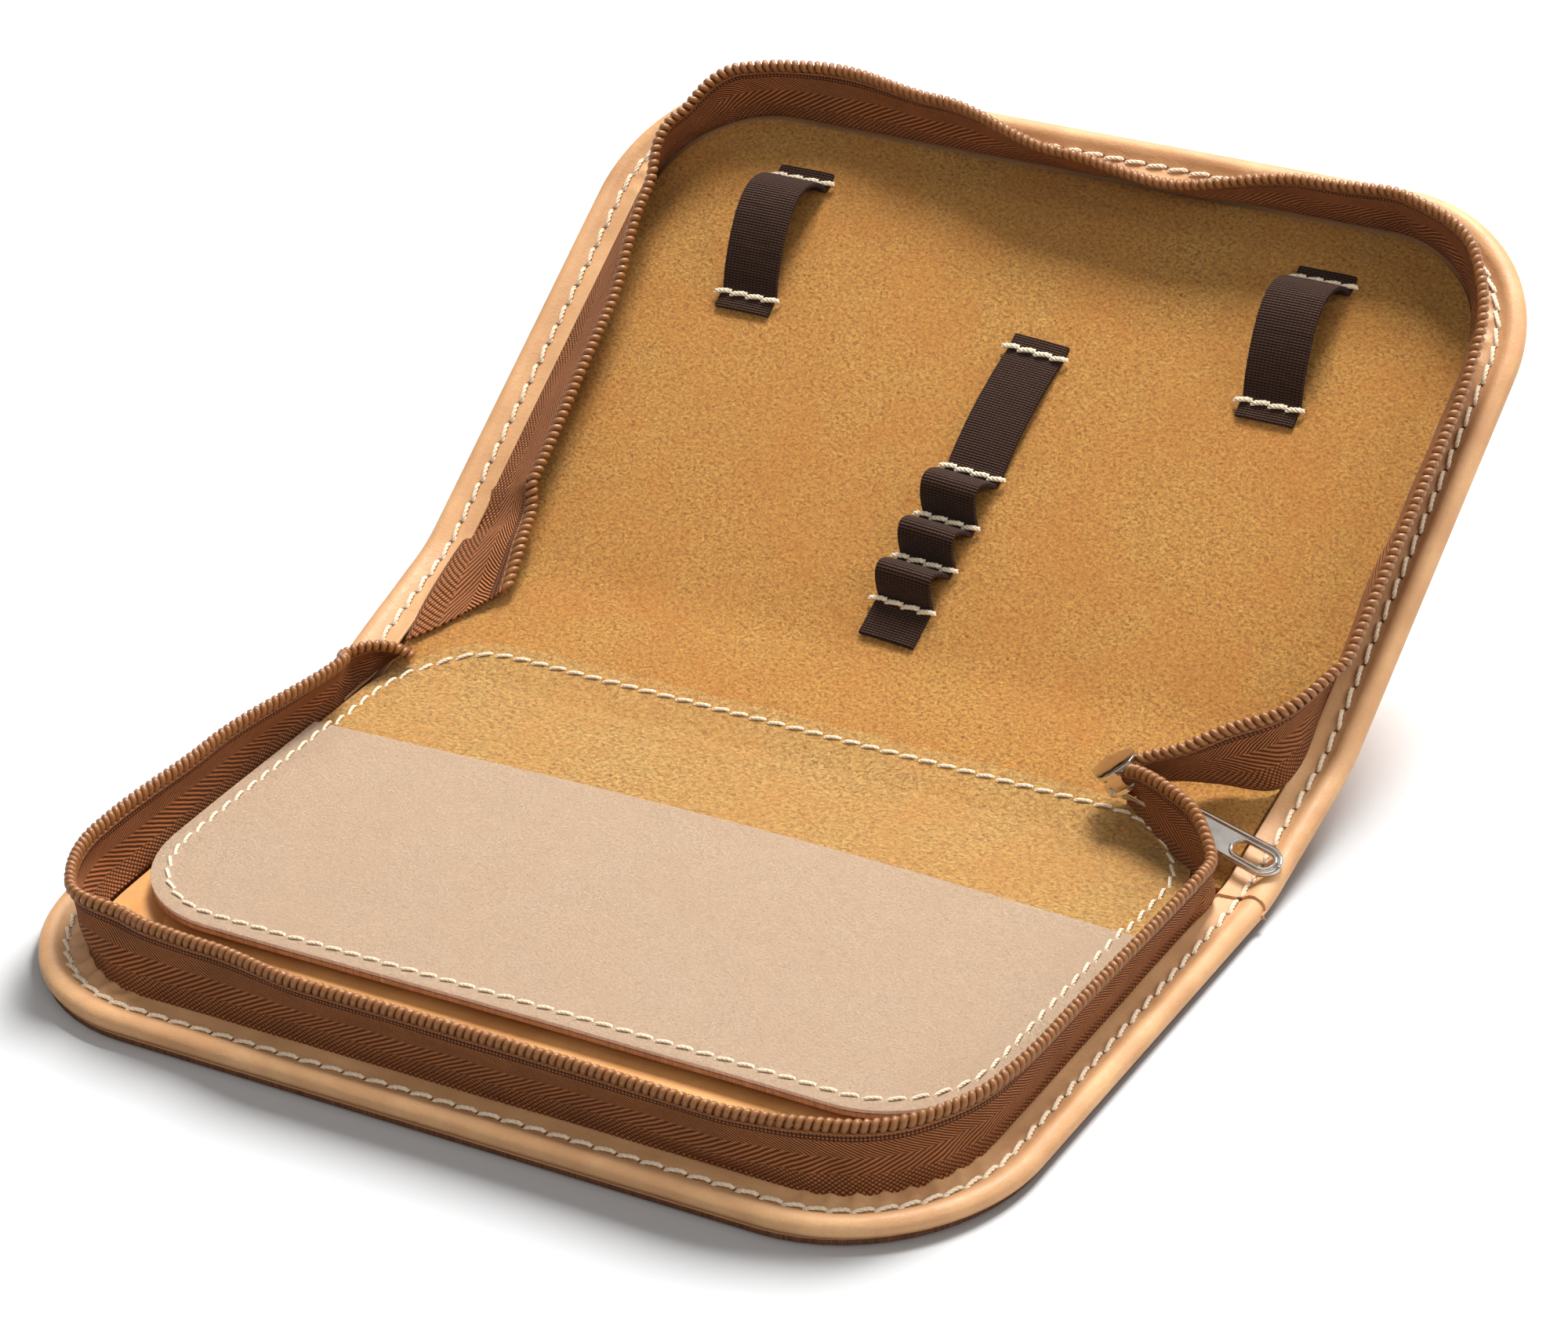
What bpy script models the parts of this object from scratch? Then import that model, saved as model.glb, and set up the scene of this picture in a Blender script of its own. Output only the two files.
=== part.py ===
# Zip-around leather pencil case, lying open.
# The lower half rests on the table, the spine rises behind it and the upper half leans back.
# X runs along the spine, Y from the front edge to the back, Z up.
# The origin is the middle of the lower cover's resting face.

import math

import bmesh
import bpy
from mathutils import Matrix, Vector

# Case outline
case_length = 0.200
half_depth = 0.1178
spine_width = 0.034
corner_radius = 0.0343

# How far open the case lies, turned equally at its two folds
open_angle = math.radians(32.0)

# Sheet thicknesses
cover_thickness = 0.0011
board_thickness = 0.0006
lining_thickness = 0.0008
floor_thickness = 0.0015
binding_thickness = 0.0010
tape_thickness = 0.0005
leaf_thickness = 0.0013
pocket_thickness = 0.0011
tray_sheet_thickness = 0.0008
elastic_thickness = 0.0009

# Clearances
layer_gap = 0.00025
fold_gap = 0.0004

# Faces that meet at more than this angle keep a crisp edge
sharp_angle = math.radians(35)

# Edge binding
cord_radius = 0.0009
strip_inner_inset = 0.0080
flange_inset = 0.0050
board_inset = 0.0165
board_fold_margin = 0.0041
bead_steps = 8
bead_first_angle = math.radians(205)
bead_last_angle = math.radians(10)
bore_first_angle = math.radians(35)
bore_last_angle = math.radians(185)
rim_corner_steps = 10

# Zip
wall_inset = 0.00845
wall_bend_height = 0.0039
tape_wall_length = 0.0123
chain_height = 0.0028
chain_width = 0.0023
chain_sides = 6
wall_corner_steps = 7
route_steps = 4
wall_end_margin = 0.0150
wall_station_step = 0.0070

# Slider and its pull
slider_length = 0.0100
slider_width = 0.0084
slider_plate = 0.0009
slider_gap = 0.0028
slider_tail_share = 0.62
slider_end_steps = 5
slider_rail_width = 0.0009
slider_rail_height = 0.0007
slider_rail_step = 0.0001
wedge_width = 0.0019
wedge_start = 0.0018
wedge_end = 0.0047
slider_end_margin = 0.0348
slider_on_spine = 0.0132
slider_height = 0.0088
slider_lean = math.radians(58.0)
slider_turn = math.radians(-12.0)
crown_window = 0.0023
crown_bar = 0.0008
crown_half_width = 0.0010
crown_half_length = 0.0032
pull_length = 0.0335
pull_neck_width = 0.0042
pull_eye_width = 0.0027
pull_eye_length = 0.0050
pull_eye_bar = 0.0009
pull_end_width = 0.0070
pull_thickness = 0.0013
pull_drop = math.radians(6.0)
pull_hole_length = 0.0085
pull_hole_width = 0.0036
pull_neck_end = 0.0080
pull_shoulder_start = 0.0141
pull_shoulder_share = 0.94
pull_recess_depth = 0.0004
pull_rim_width = 0.0008
pull_end_steps = 10
pull_hole_steps = 6

# Leaf that lies over the lower half
leaf_left_margin = 0.0120
leaf_right_margin = 0.0138
leaf_front_margin = 0.0268
leaf_on_spine = 0.0140
leaf_radius = 0.0225
leaf_front_rise = 0.0027
leaf_corner_steps = 7
mouth_steps = 8
seam_rise = 0.0004
pocket_side_mouth = 0.0238
pocket_middle_mouth = 0.0213

# Smooth sheet that lies loose under the leaf, showing along its front edge
tray_sheet_side_margin = 0.0230
tray_sheet_rear = 0.0640
tray_sheet_front_margin = 0.0218
tray_sheet_radius = 0.0120

# Elastic loops on the upper lining
elastic_width = 0.0120
side_loop_margin = 0.0430
side_loop_start = 0.0635
side_loop_end = 0.0975
side_loop_rise = 0.0085
band_place = 0.0030
band_slant = math.radians(3.5)
band_rows = (0.0675, 0.0400, 0.0290, 0.0195, 0.0100)
band_rises = (0.0012, 0.0060, 0.0056, 0.0058)
band_tail_end = 0.0022
elastic_end = 0.0032
sewn_flat = 0.0012
arch_steps = 6
arch_fullness = 0.75

half_length = case_length / 2
layer = cover_thickness + layer_gap
board_bottom = layer
lining_bottom = board_bottom + board_thickness + layer_gap
axis_height = lining_bottom + lining_thickness
floor_top = lining_bottom + floor_thickness
leaf_rear_rise = floor_top - axis_height + layer_gap
seam_clearance = seam_rise + leaf_thickness + fold_gap
fold_line = half_depth / 2
bead_radius = cord_radius + layer_gap + binding_thickness
bead_inset = bead_radius
bead_height = layer + cord_radius
strip_bottom = layer + tape_thickness + layer_gap
leaf_left = leaf_left_margin - half_length
leaf_right = half_length - leaf_right_margin
leaf_front = half_depth - leaf_front_margin
slider_place = (half_length - slider_end_margin, slider_on_spine, slider_height)
slider_shoulder = slider_length / 2 - slider_width / 2
slider_tail = slider_width * slider_tail_share / 2 - slider_length / 2

colours = {
    "cover": ((0.62, 0.36, 0.19, 1), 0.55, 0.0),
    "board": ((0.45, 0.36, 0.26, 1), 0.90, 0.0),
    "lining_floor": ((0.72, 0.45, 0.22, 1), 0.60, 0.0),
    "suede": ((0.52, 0.27, 0.08, 1), 0.95, 0.0),
    "flesh": ((0.76, 0.57, 0.43, 1), 0.85, 0.0),
    "binding": ((0.66, 0.40, 0.22, 1), 0.50, 0.0),
    "cord": ((0.75, 0.70, 0.60, 1), 0.90, 0.0),
    "tape": ((0.20, 0.075, 0.03, 1), 0.85, 0.0),
    "coil": ((0.28, 0.11, 0.04, 1), 0.40, 0.0),
    "elastic": ((0.03, 0.018, 0.014, 1), 0.85, 0.0),
    "nickel": ((0.78, 0.77, 0.74, 1), 0.22, 1.0),
}


def clear_scene():
    for old in list(bpy.data.objects):
        bpy.data.objects.remove(old, do_unlink=True)


def material(kind):
    """The named surface, made once and shared."""
    found = bpy.data.materials.get(kind)
    if found:
        return found
    made = bpy.data.materials.new(kind)
    made.use_nodes = True
    colour, roughness, metallic = colours[kind]
    shader = made.node_tree.nodes["Principled BSDF"]
    shader.inputs["Base Color"].default_value = colour
    shader.inputs["Roughness"].default_value = roughness
    shader.inputs["Metallic"].default_value = metallic
    return made


def finish(name, mesh_builder, parent, kind):
    """Turns a bmesh into an object under its fold's empty."""
    bmesh.ops.recalc_face_normals(mesh_builder, faces=mesh_builder.faces)
    mesh = bpy.data.meshes.new(name)
    mesh_builder.to_mesh(mesh)
    mesh_builder.free()
    mesh.shade_smooth()
    mesh.set_sharp_from_angle(angle=sharp_angle)
    mesh.materials.append(material(kind))
    made = bpy.data.objects.new(name, mesh)
    bpy.context.scene.collection.objects.link(made)
    made.parent = parent
    return made


def empty(name, parent, location, turn):
    made = bpy.data.objects.new(name, None)
    bpy.context.scene.collection.objects.link(made)
    made.parent = parent
    made.location = location
    made.rotation_euler = (turn, 0, 0)
    return made


def loft(rings):
    """A closed solid through rings of equal point count, with a cap on each end."""
    built = bmesh.new()
    loops = [[built.verts.new(point) for point in ring] for ring in rings]
    for first, second in zip(loops[:-1], loops[1:]):
        count = len(first)
        for index in range(count):
            following = (index + 1) % count
            built.faces.new((first[index], first[following], second[following], second[index]))
    built.faces.new(loops[0])
    built.faces.new(loops[-1])
    return built


def thick_line(points, thickness):
    """The closed outline of a bent sheet, from its middle line."""
    middle = [Vector(point) for point in points]
    sides = ([], [])
    for index, point in enumerate(middle):
        before = middle[max(index - 1, 0)]
        after = middle[min(index + 1, len(middle) - 1)]
        into = (point - before).normalized() if index else (after - point).normalized()
        out = (after - point).normalized() if index < len(middle) - 1 else into
        along = (into + out).normalized()
        stretch = 1 / max(along.dot(into), 0.5)
        across = Vector((-along.y, along.x)) * thickness / 2 * stretch
        sides[0].append(point + across)
        sides[1].append(point - across)
    return sides[0] + sides[1][::-1]


def smooth_between(places, values, at):
    """Eased value at a place, from values given at rising places."""
    if at <= places[0]:
        return values[0]
    for index in range(len(places) - 1):
        if at <= places[index + 1]:
            share = (at - places[index]) / (places[index + 1] - places[index])
            eased = share * share * (3 - 2 * share)
            return values[index] + (values[index + 1] - values[index]) * eased
    return values[-1]


def rim_stations(start, stop_side, step, corner_steps):
    """Points round a half's outline from the left fold end to the right one, with inward normals.

    start and stop_side are how far from the fold the left and right sides begin and end.
    """
    stations = []
    straight = half_depth - corner_radius
    side_steps = max(1, round((straight - start) / step))
    for index in range(side_steps):
        along = start + (straight - start) * index / side_steps
        stations.append((Vector((-half_length, along)), Vector((1, 0))))
    front_reach = half_length - corner_radius
    for index in range(corner_steps + 1):
        turn = math.pi / 2 * index / corner_steps
        outward = Vector((-math.cos(turn), math.sin(turn)))
        stations.append((Vector((-front_reach, straight)) + outward * corner_radius, -outward))
    front_steps = max(1, round(2 * front_reach / step))
    for index in range(1, front_steps):
        along = -front_reach + 2 * front_reach * index / front_steps
        stations.append((Vector((along, half_depth)), Vector((0, -1))))
    for index in range(corner_steps + 1):
        turn = math.pi / 2 * index / corner_steps
        outward = Vector((math.sin(turn), math.cos(turn)))
        stations.append((Vector((front_reach, straight)) + outward * corner_radius, -outward))
    side_steps = max(1, round((straight - stop_side) / step))
    for index in range(1, side_steps + 1):
        along = straight + (stop_side - straight) * index / side_steps
        stations.append((Vector((half_length, along)), Vector((-1, 0))))
    return stations


def half_point(side, across, outward, height):
    """A point of a half in its own fold's frame. side is -1 for the lower half, 1 for the upper."""
    return Vector((across, side * outward, height - axis_height))


def plate(name, parent, side, inset, bottom, top, start, kind):
    """A rounded sheet with its straight edge by the fold."""
    radius = corner_radius - inset
    reach = half_length - inset
    far = half_depth - inset
    left_corner = Vector((radius - reach, far - radius))
    right_corner = Vector((reach - radius, far - radius))
    outline = [Vector((-reach, start))]
    for index in range(rim_corner_steps + 1):
        turn = math.pi / 2 * index / rim_corner_steps
        outline.append(left_corner + Vector((-math.cos(turn), math.sin(turn))) * radius)
    for index in range(rim_corner_steps + 1):
        turn = math.pi / 2 * index / rim_corner_steps
        outline.append(right_corner + Vector((math.sin(turn), math.cos(turn))) * radius)
    outline.append(Vector((reach, start)))
    rings = [[half_point(side, at.x, at.y, height) for at in outline] for height in (bottom, top)]
    return finish(name, loft(rings), parent, kind)


def binding_profile():
    """Cross-section of the binding as (inset, height): a bead over the cord and a flat sewn strip."""
    outer = []
    centre = Vector((bead_inset, bead_height))
    for index in range(bead_steps + 1):
        turn = bead_first_angle + (bead_last_angle - bead_first_angle) * index / bead_steps
        outer.append(centre + Vector((math.cos(turn), math.sin(turn))) * bead_radius)
    strip_top = strip_bottom + binding_thickness
    outer.append(Vector((bead_inset + bead_radius + layer_gap, strip_top)))
    outer.append(Vector((strip_inner_inset, strip_top)))
    outer.append(Vector((strip_inner_inset, strip_bottom)))
    inner_radius = bead_radius - binding_thickness
    outer.append(Vector((bead_inset + inner_radius + binding_thickness / 2, strip_bottom)))
    bore_steps = bead_steps // 2
    for index in range(bore_steps + 1):
        turn = bore_first_angle + (bore_last_angle - bore_first_angle) * index / bore_steps
        outer.append(centre + Vector((math.cos(turn), math.sin(turn))) * inner_radius)
    outer.append(Vector((bead_inset - inner_radius, layer)))
    outer.append(Vector((layer_gap, layer)))
    return outer


def mitre(height):
    """How far an end face stands back from the fold's gap, so that the edges clear each other when closed."""
    return max(0, height - axis_height)


def rim_sweep(name, parent, side, stations, profile, kind):
    """A cross-section swept round a half's edge. profile is a list, or a function of the station's number."""
    rings = []
    for number, (edge, inward) in enumerate(stations):
        section = profile(number) if callable(profile) else profile
        at_fold = number in (0, len(stations) - 1)
        ring = []
        for point in section:
            at = edge + inward * point.x
            outward = at.y + mitre(point.y) if at_fold and not callable(profile) else at.y
            ring.append(half_point(side, at.x, outward, point.y))
        rings.append(ring)
    return finish(name, loft(rings), parent, kind)


def straight_rim(name, parent, side_of_case, section, kind):
    """The same cross-section run along one end of the spine."""
    rings = []
    for along, way in ((fold_gap, 1), (spine_width - fold_gap, -1)):
        ring = []
        for point in section:
            across = side_of_case * (half_length - point.x)
            ring.append(Vector((across, along + way * mitre(point.y), point.y - axis_height)))
        rings.append(ring)
    return finish(name, loft(rings), parent, kind)


def cord_section():
    """Round section of the cord inside the bead."""
    centre = Vector((bead_inset, bead_height))
    section = []
    for index in range(bead_steps):
        turn = 2 * math.pi * index / bead_steps
        section.append(centre + Vector((math.cos(turn), math.sin(turn))) * cord_radius)
    return section


# Lean of the zip walls in degrees, outward positive, read round each half from the left fold end
wall_place_shares = (0.0, 0.10, 0.17, 0.245, 0.30, 0.36, 0.42, 0.50, 0.56, 0.64, 0.70, 0.76, 0.86, 1.0)
lower_lean = (-24, -2, 8, 4, -20, -12, 1, 1, 2, 5, -8, -4, 6, 2)
upper_lean = (-64, -58, -42, -20, 8, 22, 8, -20, -30, -4, 2, 14, 28, 26)


def wall_distance(stations):
    """Share of the way round at each station."""
    lengths = [0.0]
    for before, after in zip(stations[:-1], stations[1:]):
        lengths.append(lengths[-1] + (after[0] - before[0]).length)
    return [length / lengths[-1] for length in lengths]


def wall_line(lean):
    """Middle line of the tape as (inset, height): the sewn flange, then the standing wall."""
    middle = layer + tape_thickness / 2
    bend = Vector((wall_inset, wall_bend_height))
    top = bend + Vector((-math.sin(lean), math.cos(lean))) * tape_wall_length
    return [
        Vector((flange_inset, middle)),
        Vector((wall_inset - tape_thickness, middle)),
        Vector((wall_inset, middle + tape_thickness)),
        bend,
        top,
    ]


def chain_section(lean):
    """Section of the coil along the top edge of the tape."""
    up = Vector((-math.sin(lean), math.cos(lean)))
    across = Vector((up.y, -up.x))
    foot = Vector((wall_inset, wall_bend_height)) + up * (tape_wall_length + layer_gap)
    section = []
    for index in range(chain_sides):
        turn = 2 * math.pi * (index + 1 / 2) / chain_sides
        rise = chain_height / 2 * (1 + math.sin(turn))
        section.append(foot + up * rise + across * chain_width / 2 * math.cos(turn))
    return section


def zip_wall(parent, side, word, leans):
    stations = rim_stations(wall_end_margin, wall_end_margin, wall_station_step, wall_corner_steps)
    shares = wall_distance(stations)
    angles = [math.radians(smooth_between(wall_place_shares, leans, share)) for share in shares]
    rim_sweep(
        "zip_tape_" + word, parent, side, stations,
        lambda number: thick_line(wall_line(angles[number]), tape_thickness), "tape",
    )
    rim_sweep(
        "zip_coil_" + word, parent, side, stations,
        lambda number: chain_section(angles[number]), "coil",
    )
    return angles[0], angles[-1]


def build_half(parent, side, word, floor_kind, floor_height, floor_start, leans):
    """The sheets, binding, edge cord and zip wall that both halves have."""
    plate(word + "_cover", parent, side, 0, 0, cover_thickness, fold_gap, "cover")
    plate(word + "_board", parent, side, board_inset, board_bottom, board_bottom + board_thickness,
          board_fold_margin, "board")
    plate(word + "_lining", parent, side, wall_inset + tape_thickness + layer_gap, lining_bottom,
          lining_bottom + floor_height, floor_start, floor_kind)
    around = rim_stations(fold_gap, fold_gap, half_depth, rim_corner_steps)
    rim_sweep(word + "_binding", parent, side, around, binding_profile(), "binding")
    rim_sweep(word + "_edge_cord", parent, side, around, cord_section(), "cord")
    return zip_wall(parent, side, word, leans)


def box_sheet(name, parent, left, right, near, far, bottom, top, kind):
    """A flat rectangular sheet in the spine's frame."""
    rings = []
    for height in (bottom, top):
        rings.append([
            Vector((left, near, height - axis_height)),
            Vector((right, near, height - axis_height)),
            Vector((right, far, height - axis_height)),
            Vector((left, far, height - axis_height)),
        ])
    return finish(name, loft(rings), parent, kind)


def build_spine(parent):
    near = fold_gap
    far = spine_width - fold_gap
    box_sheet("spine_cover", parent, -half_length, half_length, near, far, 0, cover_thickness, "cover")
    lining_reach = half_length - strip_inner_inset - layer_gap
    box_sheet("spine_lining", parent, -lining_reach, lining_reach, near, far, lining_bottom,
              lining_bottom + lining_thickness, "suede")
    board_reach = half_length - board_inset
    box_sheet("spine_board", parent, -board_reach, board_reach, board_fold_margin,
              spine_width - board_fold_margin, board_bottom, board_bottom + board_thickness, "board")
    for side_of_case, word in ((-1, "left"), (1, "right")):
        straight_rim("spine_binding_" + word, parent, side_of_case, binding_profile(), "binding")
        straight_rim("spine_edge_cord_" + word, parent, side_of_case, cord_section(), "cord")


def ribbon(name, parent, tops, bottoms, thickness, kind):
    """A bent strip of tape between a top route and a bottom route."""
    rings = []
    for index, (top, bottom) in enumerate(zip(tops, bottoms)):
        before = tops[max(index - 1, 0)] + bottoms[max(index - 1, 0)]
        after = tops[min(index + 1, len(tops) - 1)] + bottoms[min(index + 1, len(tops) - 1)]
        along = (after - before).normalized()
        across = along.cross(top - bottom).normalized() * thickness / 2
        rings.append([bottom - across, bottom + across, top + across, top - across])
    return finish(name, loft(rings), parent, kind)


def curve_through(points, steps):
    """Points on a smooth curve through the given ones."""
    padded = [2 * points[0] - points[1]] + points + [2 * points[-1] - points[-2]]
    curve = []
    for index in range(len(points) - 1):
        a, b, c, d = padded[index:index + 4]
        for step in range(steps):
            t = step / steps
            curve.append(0.5 * (2 * b + (c - a) * t + (2 * a - 5 * b + 4 * c - d) * t ** 2
                                + (3 * b - a - 3 * c + d) * t ** 3))
    curve.append(points[-1])
    return curve


def tube_along(route, radius, count):
    """Rings of a round tube along a route."""
    turns = [2 * math.pi * number / count for number in range(count)]
    rings = []
    for index, point in enumerate(route):
        along = (route[min(index + 1, len(route) - 1)] - route[max(index - 1, 0)]).normalized()
        first = along.cross(Vector((0, 0, 1))).normalized() * radius
        second = first.cross(along)
        rings.append([point + first * math.cos(turn) + second * math.sin(turn) for turn in turns])
    return rings


# Routes of the free ends of the zip after they leave the walls: shares of the slider's distance from the
# case's end, of the spine's width and of the wall's height
lower_right_top_shares = (
    (0.287, -0.10, 0.98), (0.48, 0.09, 0.94),
    (0.718, 0.24, 0.88), (0.851, 0.34, 0.84),
)
lower_right_foot_shares = ((0.253, -0.06, 0.1), (0.379, 0.04, 0.14), (0.661, 0.09, 0.2), (0.828, 0.10, 0.3))
upper_right_top_shares = ((0.244, 0.92, 1.08), (0.503, 0.70, 0.98), (0.675, 0.56, 0.9), (0.845, 0.47, 0.86))
upper_right_foot_shares = ((0.264, 0.92, 0.08), (0.287, 0.72, 0.1), (0.575, 0.60, 0.2), (0.848, 0.56, 0.32))
lower_left_top_shares = ((0.273, -0.12, 0.66), (0.264, 0.14, 0.4), (0.253, 0.36, 0.17))
lower_left_foot_shares = ((0.246, -0.12, 0.03), (0.246, 0.14, 0.03), (0.246, 0.36, 0.03))
upper_left_top_shares = ((0.589, 1.22, 0.52), (0.632, 1.00, 0.41), (0.661, 0.80, 0.26))
upper_left_foot_shares = ((0.244, 1.20, 0.205), (0.253, 0.91, 0.09), (0.276, 0.59, 0.075))


def spine_route(start, side_of_case, shares):
    """Points in the spine's frame: where the wall ends, then a table of shares."""
    wall_height = wall_bend_height + tape_wall_length - axis_height
    route = [start]
    for margin, along, height in shares:
        across = half_length - margin * slider_end_margin
        route.append(Vector((side_of_case * across, along * spine_width, height * wall_height)))
    return route


def wall_end(side, side_of_case, lean, up_share):
    """A point just past the end of a zip wall, in the spine's frame at rest."""
    inset = wall_inset - math.sin(lean) * tape_wall_length * up_share
    height = wall_bend_height + math.cos(lean) * tape_wall_length * up_share
    at = half_point(side, side_of_case * (half_length - inset), wall_end_margin - fold_gap, height)
    if side < 0:
        return Matrix.Rotation(-open_angle / 2, 3, "X") @ at
    return Matrix.Rotation(open_angle / 2, 3, "X") @ at + Vector((0, spine_width, 0))


def zip_end(parent, name, side, side_of_case, lean, top_shares, foot_shares):
    """The unsewn end of one tape with the coil along its edge, lying over the spine."""
    top_start = wall_end(side, side_of_case, lean, 1)
    foot_start = wall_end(side, side_of_case, lean, 0)
    tops = curve_through(spine_route(top_start, side_of_case, top_shares), route_steps)
    feet = curve_through(spine_route(foot_start, side_of_case, foot_shares), route_steps)
    ribbon("zip_tape_end_" + name, parent, tops, feet, tape_thickness, "tape")
    rise = chain_height / 2 + layer_gap
    route = [top + (top - foot).normalized() * rise for top, foot in zip(tops[1:], feet[1:])]
    finish("zip_coil_end_" + name, loft(tube_along(route, chain_width / 2, chain_sides)), parent, "coil")


def slider_outline():
    """A slider plate: wide rounded shoulders at the mouth and a narrower tail."""
    outline = []
    ends = ((slider_shoulder, 1, slider_width / 2), (slider_tail, -1, slider_width * slider_tail_share / 2))
    for centre, sign, radius in ends:
        for index in range(slider_end_steps + 1):
            turn = math.pi * index / slider_end_steps - math.pi / 2
            outline.append(Vector((-sign * radius * math.sin(turn), centre + sign * radius * math.cos(turn))))
    return outline


def slider_matrix(turn_of_piece):
    """Frame of the slider or pull inside the spine's frame."""
    return Matrix.Translation(Vector(slider_place)) @ Matrix.Rotation(slider_turn, 4, "Z") @ turn_of_piece


def join_solids(target, others):
    """Unions the other solids into the target, so that it is one body."""
    for other in others:
        union = target.modifiers.new("union", "BOOLEAN")
        union.operation = "UNION"
        union.solver = "EXACT"
        union.object = other
        other.hide_render = True
        other.display_type = "WIRE"


def cut_solids(target, others):
    for other in others:
        cut = target.modifiers.new("cut", "BOOLEAN")
        cut.operation = "DIFFERENCE"
        cut.solver = "EXACT"
        cut.object = other
        other.hide_render = True
        other.display_type = "WIRE"


def slider_block(name, parent, low, high):
    """A box in the slider's frame, where x is its thickness, y its width and z its length."""
    corners = [(low[0], low[1]), (high[0], low[1]), (high[0], high[1]), (low[0], high[1])]
    rings = [[Vector((x, y, z)) for x, y in corners] for z in (low[2], high[2])]
    return finish(name, loft(rings), parent, "nickel")


def slider_rail(parent, side, face):
    """A rail along one edge of one plate, turned in towards the other plate to hold the coil.

    side is -1 or 1 across the slider, face -1 for the inner plate and 1 for the outer one.
    """
    inner = slider_gap / 2 - slider_rail_height
    outer = slider_gap / 2 + slider_plate / 2
    rings = []
    ends = ((slider_shoulder, slider_width / 2), (slider_tail, slider_width * slider_tail_share / 2))
    for height, reach in ends:
        edge = reach - slider_rail_step
        inside = edge - slider_rail_width
        corners = ((inner, edge), (outer, edge), (outer, inside), (inner, inside))
        rings.append([Vector((face * depth, side * across, height)) for depth, across in corners])
    name = "slider_rail_" + ("outer_" if face > 0 else "inner_") + ("left" if side < 0 else "right")
    return finish(name, loft(rings), parent, "nickel")


def build_slider(parent):
    """Two plates joined at the mouth by the wedge, with rails along their edges and a crown for the pull."""
    half_gap = slider_gap / 2
    plate_out = half_gap + slider_plate
    outline = slider_outline()
    rings = [[Vector((x, point.x, point.y)) for point in outline] for x in (-plate_out, -half_gap)]
    body = finish("slider_body", loft(rings), parent, "nickel")
    rings = [[Vector((x, point.x, point.y)) for point in outline] for x in (half_gap, plate_out)]
    outer_plate = finish("slider_outer_plate", loft(rings), parent, "nickel")
    wedge = slider_block(
        "slider_wedge", parent,
        (-half_gap - slider_plate / 2, -wedge_width / 2, wedge_start),
        (half_gap + slider_plate / 2, wedge_width / 2, wedge_end),
    )
    crown = slider_block(
        "slider_crown", parent,
        (half_gap + slider_plate / 2, -crown_half_width, -crown_half_length),
        (plate_out + crown_window + crown_bar, crown_half_width, crown_half_length),
    )
    window = slider_block(
        "slider_crown_window", parent,
        (plate_out, -slider_width, crown_bar - crown_half_length),
        (plate_out + crown_window, slider_width, crown_half_length - crown_bar),
    )
    rails = [slider_rail(parent, side, face) for side in (-1, 1) for face in (-1, 1)]
    cut_solids(crown, [window])
    join_solids(body, [outer_plate, wedge, crown] + rails)
    for piece in [body, outer_plate, wedge, crown, window] + rails:
        piece.matrix_local = slider_matrix(Matrix.Rotation(slider_lean, 4, "Y"))
    return body


def pull_outline():
    """The pull seen flat: a narrow neck at the eye that widens to a round end."""
    eye_half = pull_neck_width / 2
    end_half = pull_end_width / 2
    shoulder_half = end_half * pull_shoulder_share
    end_centre = Vector((pull_length - end_half, 0))
    start = -pull_eye_bar / 2
    outline = [Vector((start, -eye_half)), Vector((pull_neck_end, -eye_half))]
    outline.append(Vector((pull_shoulder_start, -shoulder_half)))
    for index in range(pull_end_steps + 1):
        turn = math.pi * index / pull_end_steps - math.pi / 2
        outline.append(end_centre + Vector((math.cos(turn), math.sin(turn))) * end_half)
    outline.append(Vector((pull_shoulder_start, shoulder_half)))
    outline.append(Vector((pull_neck_end, eye_half)))
    outline.append(Vector((start, eye_half)))
    return outline


def pull_eye_outline():
    """The opening that goes round the slider's crown."""
    eye_half = pull_eye_width / 2
    near = pull_eye_bar / 2
    far = near + pull_eye_length
    corners = ((near, -eye_half), (far, -eye_half), (far, eye_half), (near, eye_half))
    return [Vector(corner) for corner in corners]


def pull_hole_outline():
    """The oblong hole near the round end."""
    radius = pull_hole_width / 2
    far = pull_length - pull_end_width / 2
    near = far - pull_hole_length + pull_hole_width
    ring = []
    for centre, sign in ((far, 1), (near, -1)):
        for index in range(pull_hole_steps + 1):
            turn = math.pi * index / pull_hole_steps - math.pi / 2
            ring.append(Vector((centre + sign * radius * math.cos(turn), sign * radius * math.sin(turn))))
    return ring


def pull_recess_outline():
    """The sunk middle of the pull's face, with a rim all round it."""
    neck_half = pull_neck_width / 2 - pull_rim_width
    shoulder_half = pull_end_width / 2 * pull_shoulder_share - pull_rim_width
    far = pull_length - pull_end_width / 2 + pull_hole_width / 2 - pull_hole_length - pull_rim_width
    return [
        Vector((pull_neck_end, -neck_half)), Vector((pull_shoulder_start, -shoulder_half)),
        Vector((far, -shoulder_half)), Vector((far, shoulder_half)),
        Vector((pull_shoulder_start, shoulder_half)), Vector((pull_neck_end, neck_half)),
    ]


def pull_slab(name, parent, outline, low, high):
    rings = [[Vector((point.x, point.y, height)) for point in outline] for height in (low, high)]
    return finish(name, loft(rings), parent, "nickel")


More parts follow.
